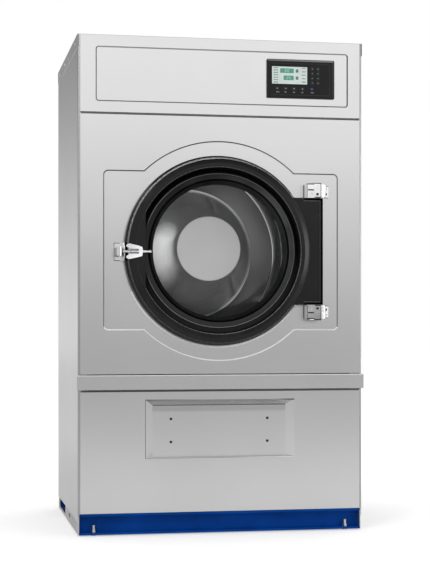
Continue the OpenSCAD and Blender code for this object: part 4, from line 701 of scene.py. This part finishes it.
def ribbon_piece(name, ribbons, body, finish=edge):
    """ribbons is a list of (outer points, inner points, tones, closed)."""
    bm = bmesh.new()
    layer = bm.verts.layers.float.new("tone")
    for outer, inner, tones, closed in ribbons:
        rows = []
        for a, b, tone in zip(outer, inner, tones):
            rows.append([bm.verts.new(a), bm.verts.new(b)])
            for vert in rows[-1]:
                vert[layer] = tone
        for (a, b), (c, d) in zip(rows, rows[1:] + ([rows[0]] if closed else [])):
            face = bm.faces.new((a, b, d, c))
            face.normal_update()
            if face.normal.y > 0:
                face.normal_flip()
    made = plain_object(name, bpy.data.meshes.new(name))
    bm.to_mesh(made.data)
    bm.free()
    made.data.materials.append(finish.material)
    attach(made, body)
    print(name + ":", len(made.data.polygons), "faces")


def arc(cx, cz, radius, start, end, steps):
    turns = [math.radians(start + (end - start) * i / steps) for i in range(steps + 1)]
    return [(cx + radius * math.cos(a), cz + radius * math.sin(a)) for a in turns]


def shoulder(outline, width, tone_at):
    """Closed ribbon inside an outline of (x, z) points that runs clockwise, seen from the front."""
    outer, inner, tones = [], [], []
    for i, (x, z) in enumerate(outline):
        before, after = Vector(outline[i - 1]), Vector(outline[(i + 1) % len(outline)])
        ways = [(Vector((x, z)) - before).normalized(), (after - Vector((x, z))).normalized()]
        inward = Vector((ways[0].y + ways[1].y, -ways[0].x - ways[1].x)).normalized()
        reach = width / max(0.5, abs(inward.dot(Vector((ways[0].y, -ways[0].x)))))
        outer.append((x, PANEL_Y - OFF, z))
        inner.append((x + inward.x * reach, FIELD_Y - OFF, z + inward.y * reach))
        # painted light and shade, chosen by the way this stretch of shoulder faces
        tones.append(tone_at(-inward.x, -inward.y))
    return outer, inner, tones, True


print("panel face", round(PANEL_Y, 4), "field", round(FIELD_Y, 4))

# %% [markdown]
# ## The door's field and the header's field
# The door's field is a rectangle that a circle widens above and below the door. The header has a
# plain rounded one. Their outlines are built from arcs, so that the corners stay round.

# %% Door field and header field
def corner(cx, cz, radius, start):
    return arc(cx, cz, radius, start, start - 90, 6)


DOOR_X, DOOR_Z, HALF_W, HALF_H, ROUND_X, ROUND_R = -0.018, 1.103, 0.4675, 0.310, -0.010, 0.430
BEND = 0.02  # radius of the door field's corners
meet = math.degrees(math.asin(HALF_H / ROUND_R))
door_outline = (
    corner(-HALF_W + BEND, DOOR_Z + HALF_H - BEND, BEND, 180)
    + arc(ROUND_X, DOOR_Z, ROUND_R, 180 - meet, meet, 48)
    + corner(HALF_W - BEND, DOOR_Z + HALF_H - BEND, BEND, 90)
    + corner(HALF_W - BEND, DOOR_Z - HALF_H + BEND, BEND, 0)
    + arc(ROUND_X, DOOR_Z, ROUND_R, -meet, meet - 180, 48)
    + corner(-HALF_W + BEND, DOOR_Z - HALF_H + BEND, BEND, -90)
)


def door_tone(nx, nz):
    """nx, nz point from the field out over its edge, so the upper edge has nz above 0.
    The upper edge gets painted shade, the lower one a painted highlight.
    """
    if nz > 0.3:
        return 0.07 + 0.22 * max(0.0, nx)
    return 1.0 if nz < -0.3 else 0.20


# painted light and shade of the header field's edges, by the way each side faces
def header_tone(nx, nz):
    return 0.30 if nz > 0.5 else 0.16 if nz < -0.5 else 0.03 if nx > 0 else 0.20


HEAD_X, HEAD_Z, HEAD_W, HEAD_H, HEAD_BEND = 0.006, 1.7835, 0.5025, 0.1065, 0.012
reach_x, reach_z = HEAD_W - HEAD_BEND, HEAD_H - HEAD_BEND
header_outline = [
    point
    for sx, sz, start in ((-1, 1, 180), (1, 1, 90), (1, -1, 0), (-1, -1, -90))
    for point in corner(HEAD_X + sx * reach_x, HEAD_Z + sz * reach_z, HEAD_BEND, start)
]
# A painted highlight on the lower edge of the sheet round the door's opening, seen under the ring.
collar = [
    [(x, FIELD_Y - 0.0003, z) for x, z in arc(DOOR_X, DOOR_Z, radius, -155, -20, 40)]
    for radius in (0.3725, 0.3795)
]
ribbon_piece("pressed_edges", [
    shoulder(door_outline, 0.0044, door_tone),
    shoulder(header_outline, 0.0046, header_tone),
    (*collar, [1.0] * len(collar[0]), False),
], "cabinet", painted_tones)

# %% [markdown]
# ## Seams and joint lines
# Two sheets that meet leave a thin dark gap, and the shine of a folded edge is painted as a thin
# bright line. The recess and the bezel get painted shade and painted highlights along their edges.
# All are flat ribbons just in front of the sheets: a real gap would be thinner than a pixel here.

# %% Seams, recess and bezel lines
def flat_line(points, y, widths, tones):
    """A ribbon that faces forward along (x, z) points, widths measured square to the line."""
    outer, inner = [], []
    for i, (x, z) in enumerate(points):
        a, b = points[max(0, i - 1)], points[min(len(points) - 1, i + 1)]
        along = (Vector(b) - Vector(a)).normalized()
        side = Vector((-along.y, along.x)) * widths[i] / 2
        outer.append((x + side.x, y, z + side.y))
        inner.append((x - side.x, y, z - side.y))
    return outer, inner, tones, False


def dash(x0, x1, z, y, width, tone, last=None):
    """A level line of even width; last is the tone at its far end, if another one."""
    tones = (tone, tone if last is None else last)
    return flat_line([(x0, z), (x1, z)], y, (width, width), tones)


def post(x, z0, z1, y, width, tone, last=None):
    """The same, upright."""
    tones = (tone, tone if last is None else last)
    return flat_line([(x, z0), (x, z1)], y, (width, width), tones)


SEAM = 0.554  # half the length of the seams across the front
# The drawer's recess: its outline, how far its back wall is drawn in, and where that wall lies.
R_LEFT, R_RIGHT, R_LOW, R_HIGH = -0.303, 0.289, 0.2955, 0.5225
R_IN, R_TOP, DEEP = 0.031, 0.021, PANEL_Y + 0.023
LIP, WALL = PANEL_Y - OFF, DEEP - 0.0003
rail_low, rail_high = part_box("front_rail")
panel_top, drawer_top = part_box("front_panel")[1].z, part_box("drawer_front")[1].z
rail_y, rail_z = rail_low.y - OFF, rail_high.z - 0.0022
ribbon_piece("seams", [
    dash(-SEAM, SEAM, panel_top - 0.0024, LIP, 0.0044, 0.11, 0.08),
    # a painted highlight along the rail's top edge
    dash(rail_low.x + 0.002, rail_high.x - 0.002, rail_z, rail_y, 0.0030, 0.80),
], "cabinet")
ribbon_piece("recess_lines", [
    dash(-SEAM, SEAM, drawer_top - 0.0030, LIP, 0.0054, 0.06, 0.08),
    # painted shade along the recess's left edge, then under its upper lip
    post(R_LEFT, R_LOW, R_HIGH, LIP, 0.0022, 0.14),
    flat_line(
        [(R_LEFT, R_HIGH), (R_LEFT + 0.08, R_HIGH), (R_LEFT + 0.22, R_HIGH),
         (R_RIGHT - 0.10, R_HIGH), (R_RIGHT - 0.04, R_HIGH - 0.001), (R_RIGHT, R_HIGH - 0.0015)],
        LIP, (0.0032, 0.003, 0.0012, 0.0012, 0.0042, 0.0052),
        (0.11, 0.14, 0.32, 0.32, 0.10, 0.10),
    ),
    # along the recess's lower edge: darker at the left, a painted highlight at the right
    flat_line(
        [(R_LEFT, R_LOW), (0.0, R_LOW), (R_RIGHT, R_LOW)],
        LIP, (0.0016, 0.0018, 0.0026), (0.22, 0.22, 0.85),
    ),
    # painted shade under the lip, on the back wall
    dash(R_LEFT + R_IN, R_RIGHT - R_IN, R_HIGH - R_TOP, WALL, 0.0050, 0.09),
    # painted shade over the four holes in the recess's back wall
    *(dash(x - 0.005, x + 0.005, z, WALL, 0.009, 0.012)
      for x in (-0.1995, 0.1855) for z in (0.447, 0.357)),
], "drawer")
bx0, bx1, bz0, bz1 = bezel_low.x, bezel_high.x, bezel_low.z, bezel_high.z
face = bezel_face - OFF
ribbon_piece("bezel_lines", [
    dash(bx0 + 0.004, bx1 - 0.004, bz1 - 0.001, face, 0.002, 0.03),
    # a painted highlight along the bezel's top
    dash(bx0 + 0.004, bx1 - 0.004, bz1 - 0.0048, face, 0.0056, 0.16, 0.24),
    post(bx1 - 0.005, bz0 + 0.005, bz1 - 0.008, face, 0.009, 0.030, 0.034),
    post(bx1 - 0.019, bz0 + 0.014, bz1 - 0.018, face, 0.0016, 0.045, 0.05),
    dash(bx0 + 0.014, bx1 - 0.019, bz0 + 0.013, face, 0.0016, 0.030, 0.05),
    dash(bx0 + 0.012, bx1 - 0.019, bz1 - 0.016, face, 0.0016, 0.030, 0.035),
], "cabinet")

# %% [markdown]
# ## Edges and grooves of the door ring
# The ring is a glossy moulding. Painted highlights on its rounded edges show as thin bright hoops,
# brightest at the upper left, and painted shade makes the rebates beside the glass and the wing's
# rim deep black.

# %% Edges and grooves of the door ring
door_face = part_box("door_frame")[0].y


def hoop(cx, cz, outer, inner, tone_at):
    """Closed ribbon between circles (radius, y); tone_at gets height and side, -1 to 1."""
    turns = [2 * math.pi * i / 96 for i in range(96)]
    out, within = [
        [(cx + r * math.cos(a), y, cz + r * math.sin(a)) for a in turns] for r, y in (outer, inner)
    ]
    return out, within, [tone_at(math.sin(a), math.cos(a)) for a in turns], True


WING_X, rim_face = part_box("door_frame")[1].x, door_face + 0.0058
wing_edge = WING_X - 0.0115
ribbon_piece("ring_edge", [
    # painted highlights: three hoops from the outside in, then the wing's edges
    hoop(DOOR_X, DOOR_Z, (0.3612, door_face + 0.0080), (0.3572, door_face + 0.0036),
         lambda up, right: 0.10 + 0.85 * max(0.0, up - 0.45 * right) ** 1.5),
    hoop(DOOR_X, DOOR_Z, (0.3265, door_face - 0.0003), (0.3240, door_face + 0.0018),
         lambda up, right: 0.10 + 0.10 * max(0.0, -up)),
    hoop(DOOR_X, DOOR_Z, (0.3005, door_face + 0.0134), (0.2975, door_face + 0.0114),
         lambda up, right: 0.10 + 0.12 * max(0.0, -up)),
    *(dash(WING_X - 0.078, wing_edge, DOOR_Z + side * 0.1985, rim_face, 0.0026, 0.100)
      for side in (1, -1)),
    post(wing_edge, DOOR_Z - 0.198, DOOR_Z + 0.198, rim_face, 0.0022, 0.060, 0.090),
], "door")
# painted shade in the ring's grooves
ribbon_piece("ring_grooves", [
    hoop(DOOR_X, DOOR_Z, (0.3187, door_face + 0.0170), (0.3040, door_face + 0.0188),
         lambda up, right: 0.0015 + 0.020 * max(0.0, -up)),
    hoop(DOOR_X, DOOR_Z, (0.2792, door_face + 0.0136), (0.2735, door_face + 0.0150),
         lambda up, right: 0.0015),
], "door", matt_shade)
# painted shade along the wing's rim
ribbon_piece("wing_rim", [
    *(dash(WING_X - 0.074, WING_X - 0.001, DOOR_Z + side * 0.2045, rim_face, 0.009, 0.003)
      for side in (1, -1)),
    post(WING_X - 0.0055, DOOR_Z - 0.199, DOOR_Z + 0.199, rim_face, 0.009, 0.003),
], "door", matt_shade)

# %% [markdown]
# ## Rolled beads of the drum
# The back plate is spun on a lathe. A bead is rolled round the cone's foot and three more lie
# towards the rim; their crests are polished, and their shine is painted: flat ribbons with
# painted highlights, thin bright rings.

# %% Drum beads
back_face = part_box("drum_back")[1].y - 0.0036
ribbon_piece("drum_beads", [
    hoop(drum_centre.x, drum_centre.z, (r + w, back_face), (r, back_face - 0.0008), tone)
    for r, w, tone in (
        (0.2812, 0.0030, lambda up, right: 0.12 + 0.8 * abs(up)),
        (0.3830, 0.0036, lambda up, right: 0.9),
        (0.3900, 0.0016, lambda up, right: 0.5),
        (0.4230, 0.0048, lambda up, right: 1.0),
    )
], "drum", painted_tones)

# %% [markdown]
# ## Marks on hinges and latch
# On the chrome-plated blocks, the shade in every gap is painted as a dark line: under the cap, in
# the slot, round the screw pockets. One bright mark on the lower hinge is a painted highlight.
# These lines lie just in front of the faces that carry them.

# %% Hinge and latch marks
arm_low, leaf_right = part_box("hinge_arms")[0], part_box("hinge_leaves")[1].x
arm_x, cap_y, block_y, leaf_y = arm_low.x, arm_low.y - OFF, arm_low.y + 0.0018, PANEL_Y - 0.0007
on_arms, on_leaves = [], []
for flip in (1, -1):
    def up(above):
        return DOOR_Z + flip * above

    on_arms += [
        dash(arm_x + 0.030, arm_x + 0.057, up(0.2675), cap_y, 0.0042, 0.015),
        dash(arm_x + 0.001, arm_x + 0.030, up(0.2640), block_y, 0.0040, 0.015),
        dash(arm_x + 0.0045, arm_x + 0.0285, up(0.2410), block_y, 0.0050, 0.010),
        dash(arm_x + 0.0375, arm_x + 0.0475, up(0.2240), cap_y, 0.0090, 0.030),
        dash(arm_x + 0.0320, arm_x + 0.0560, up(0.2125), cap_y, 0.0040, 0.020),
        post(arm_x + 0.0016, up(0.2120), up(0.2640), block_y, 0.0022, 0.070),
        post(arm_x + 0.0560, up(0.2120), up(0.2700), cap_y, 0.0020, 0.050),
    ]
    on_leaves += [
        dash(0.4100, leaf_right, up(0.2600), leaf_y, 0.0022, 0.10),
        dash(0.4100, leaf_right, up(0.2145), leaf_y, 0.0024, 0.08),
        dash(0.4130, 0.4220, up(0.2290), leaf_y, 0.0090, 0.040),
    ]
# a painted highlight on the lower hinge's block
on_arms.append(dash(arm_x + 0.012, arm_x + 0.029, DOOR_Z - 0.2680, block_y, 0.0040, 0.95))
ribbon_piece("hinge_marks", on_arms, "door")
fork_low, fork_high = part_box("latch_keeper")
fork_x, latch_mid = fork_low.x, (fork_low.z + fork_high.z) / 2
on_leaves += [
    *(dash(fork_x, fork_x + 0.024, latch_mid + side * 0.0335, leaf_y, 0.0024, 0.07)
      for side in (1, -1)),
    post(fork_x + 0.0012, fork_low.z + 0.002, fork_high.z - 0.002, leaf_y, 0.0020, 0.12),
]
ribbon_piece("leaf_marks", on_leaves, "cabinet")

# %% [markdown]
# ## Latch spring
# The coil spring sits on the latch bolt, between the bolt's collar and the latch body. Pulling the
# bolt presses the coils together against the body. The imported spring can't shorten; this piece
# replaces it.

# %% Latch spring
CURLS, WIRE_R, BOLT_TRAVEL, STEPS = 7, 0.0009, 0.014, 24
coil_low, coil_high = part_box("latch_spring")
coil_mid, coil_long = (coil_low + coil_high) / 2, coil_high.x - coil_low.x
coil_r = (coil_high.z - coil_low.z) / 2 - WIRE_R
helix = bpy.data.curves.new("coil", "CURVE")
helix.dimensions, helix.use_fill_caps = "3D", True
helix.bevel_depth, helix.bevel_resolution = WIRE_R, 1
wire = helix.splines.new("POLY")
wire.points.add(STEPS * CURLS)
for i, point in enumerate(wire.points):
    turn = 2 * math.pi * i / STEPS
    run = coil_low.x + WIRE_R + (coil_long - 2 * WIRE_R) * i / (STEPS * CURLS)
    point.co = (run, coil_mid.y + coil_r * math.cos(turn), coil_mid.z + coil_r * math.sin(turn), 1)
coil_mesh = bpy.data.meshes.new_from_object(bpy.data.objects.new("coil", helix))
coil_mesh.materials.clear()
coil_mesh.materials.append(chrome)
latch_coil = plain_object("latch_coil", coil_mesh)
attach(latch_coil, "door")
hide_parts("latch_spring")
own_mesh(latch_coil)
print("latch spring:", len(coil_mesh.polygons), "faces,", round(1000 * coil_long, 1), "mm at rest")

# %% [markdown]
# ## Studio
# The dryer stands on a pale floor before white. The camera and the rays through the glass see the
# floor glow, more so far away, which hides the horizon. Mirror-like rays see it with bands of
# tone, as a studio has them, so that polished steel isn't plain white.

# %% Floor
floor_mesh = bpy.data.meshes.new("floor")
END = 30  # metres from the middle to the floor's sides
corners = [(-END, -END, 0), (END, -END, 0), (END, END, 0), (-END, END, 0)]
floor_mesh.from_pydata(corners, [], [(0, 1, 2, 3)])
floor = plain_object("floor", floor_mesh)
pale = Finish("floor", Roughness=0.9, Base_Color=grey(0.8))
GLOW, FAR_GLOW = 0.42, 0.30
PER_METRE = 0.05  # the ramps take 20 m of floor as 1; `along` starts 14 m in front
rays = pale.node("ShaderNodeLightPath").outputs
where = pale.place((PER_METRE, PER_METRE, PER_METRE))
along = pale.calc("ADD", pale.node("ShaderNodeSeparateXYZ", {"Vector": where}).outputs["Y"], 0.7)
apart = pale.node("ShaderNodeVectorMath", {0: where}, operation="LENGTH").outputs["Value"]
bands = [(0.0, 0.06), (0.4, 0.22), (0.62, 0.78), (0.72, 0.40), (0.78, 0.33), (0.95, 0.92)]
mirrored = pale.calc("MULTIPLY", rays["Is Glossy Ray"], pale.ramp(along, bands))
seen = pale.calc("MAXIMUM", rays["Is Camera Ray"], rays["Is Transmission Ray"])
far = pale.calc("MULTIPLY", pale.ramp(apart, [(0.032, 0.0), (0.10, FAR_GLOW)]), seen)
strength = pale.calc("ADD", far, GLOW)
glow = pale.node("ShaderNodeEmission", {"Color": grey(1.0), "Strength": strength}).outputs[0]
black = pale.node("ShaderNodeEmission", {"Color": grey(0.0)}).outputs[0]
shown = pale.calc("MAXIMUM", seen, mirrored)
pick = pale.node("ShaderNodeMixShader", {"Fac": shown, 1: black, 2: glow}).outputs[0]
both = pale.node("ShaderNodeAddShader", {0: pale.shader.outputs[0], 1: pick}).outputs[0]
pale.tree.links.new(both, pale.tree.nodes["Material Output"].inputs["Surface"])
floor_mesh.materials.append(pale.material)
print("floor laid")

# %% [markdown]
# ## Background
# The camera sees plain white. Mirror-like rays see a studio instead, which gives the steel its soft
# gradients: in front it is brightest a little above the horizon, behind only near the floor. All
# other rays get one even, dimmer tone that lights the object from every side.

# %% World
world = bpy.data.worlds.new("studio")
scene.world = world
world.use_nodes = True
sky = Wiring(world.node_tree)
sky.tree.nodes.clear()


def slope(value, low, high, to_low, to_high):
    """Goes smoothly from to_low to to_high as value goes from low to high."""
    limits = {"From Min": low, "From Max": high, "To Min": to_low, "To Max": to_high}
    inputs = {"Value": value, **limits}
    made = sky.node("ShaderNodeMapRange", inputs, interpolation_type="SMOOTHSTEP")
    return made.outputs["Result"]


def either(factor, off, on):
    made = sky.node("ShaderNodeMix", {"Factor": factor, 2: off, 3: on}, data_type="FLOAT")
    return made.outputs[0]


AMBIENT = 0.45
generated = sky.node("ShaderNodeTexCoord").outputs["Generated"]
way = sky.node("ShaderNodeSeparateXYZ", {"Vector": generated}).outputs
low_part = slope(way["Z"], -0.03, 0.145, 0.29, 1.44)
ahead = sky.calc("MULTIPLY", low_part, slope(way["Z"], 0.26, 0.50, 1.0, 0.28))
behind = slope(way["Z"], -0.04, 0.22, 1.02, 0.28)
studio = either(slope(way["Y"], -0.35, 0.35, 0.0, 1.0), ahead, behind)
rays = sky.node("ShaderNodeLightPath").outputs
mirrors = sky.calc("MAXIMUM", rays["Is Glossy Ray"], rays["Is Transmission Ray"])
level = either(rays["Is Camera Ray"], either(mirrors, AMBIENT, studio), 1.0)
white = sky.node("ShaderNodeBackground", {"Color": grey(1.0), "Strength": level}).outputs[0]
sky.node("ShaderNodeOutputWorld", {"Surface": white})
print("world lit, ambient", AMBIENT)

# %% [markdown]
# ## Lamps
# Three soft boxes light the dryer: the key high at the left front, a weaker fill at the right and
# one overhead. Nine narrow spot lamps, 5 m away, draw the bright sector that polished steel shows
# left of the hub, each one step round it and a little dimmer. A wider one lifts the porthole.

# %% Lamps
def lamp(name, kind, place, target, power):
    light = bpy.data.lights.new(name, kind)
    light.energy = power
    made = bpy.data.objects.new(name, light)
    scene.collection.objects.link(made)
    made.location = place
    made.rotation_euler = (Vector(target) - Vector(place)).to_track_quat("-Z", "Y").to_euler()
    return made, light


def soft_box(name, place, target, width, height, power):
    light = lamp(name, "AREA", place, target, power)[1]
    light.shape, light.size, light.size_y = "RECTANGLE", width, height


def spot(name, place, target, reach, power, blend, size):
    """A snooted lamp: reach is the radius of its pool of light at the target."""
    made, light = lamp(name, "SPOT", place, target, power)
    light.spot_size = 2 * math.atan(reach / (Vector(target) - Vector(place)).length)
    light.spot_blend, light.shadow_soft_size = blend, size
    made.visible_camera = False


soft_box("key", (-3.4, -4.6, 4.4), (0, 0, 1.0), 2.6, 2.2, 110)
soft_box("fill", (4.0, -4.45, 1.3), (-0.1, 0, 1.1), 2.0, 1.6, 45)
soft_box("top", (0.4, 0.6, 5.6), (0, 0.2, 0), 3.2, 3.2, 70)
SECTOR_R, SECTOR_Y, FIRST, APART = 0.176, -0.13, 154, 6.75  # metres, then degrees round the hub
TO_LAMP, POOL, POWER, LESS = Vector((-0.53, -4.97, 0.09)), 0.0437, 2900, 170
for step in range(9):
    turn = math.radians(FIRST + APART * step)
    x, z = drum_centre.x + SECTOR_R * math.cos(turn), drum_centre.z + SECTOR_R * math.sin(turn)
    sector = Vector((x, SECTOR_Y, z))
    spot("sector", sector + TO_LAMP, sector, POOL, POWER - LESS * step, 0.3, 0.003)
spot("porthole", (-1.0, -6.9, 0.55), (0.045, -0.3, 1.13), 0.30, 1400, 0.25, 0.05)
scene.view_settings.view_transform = "Standard"
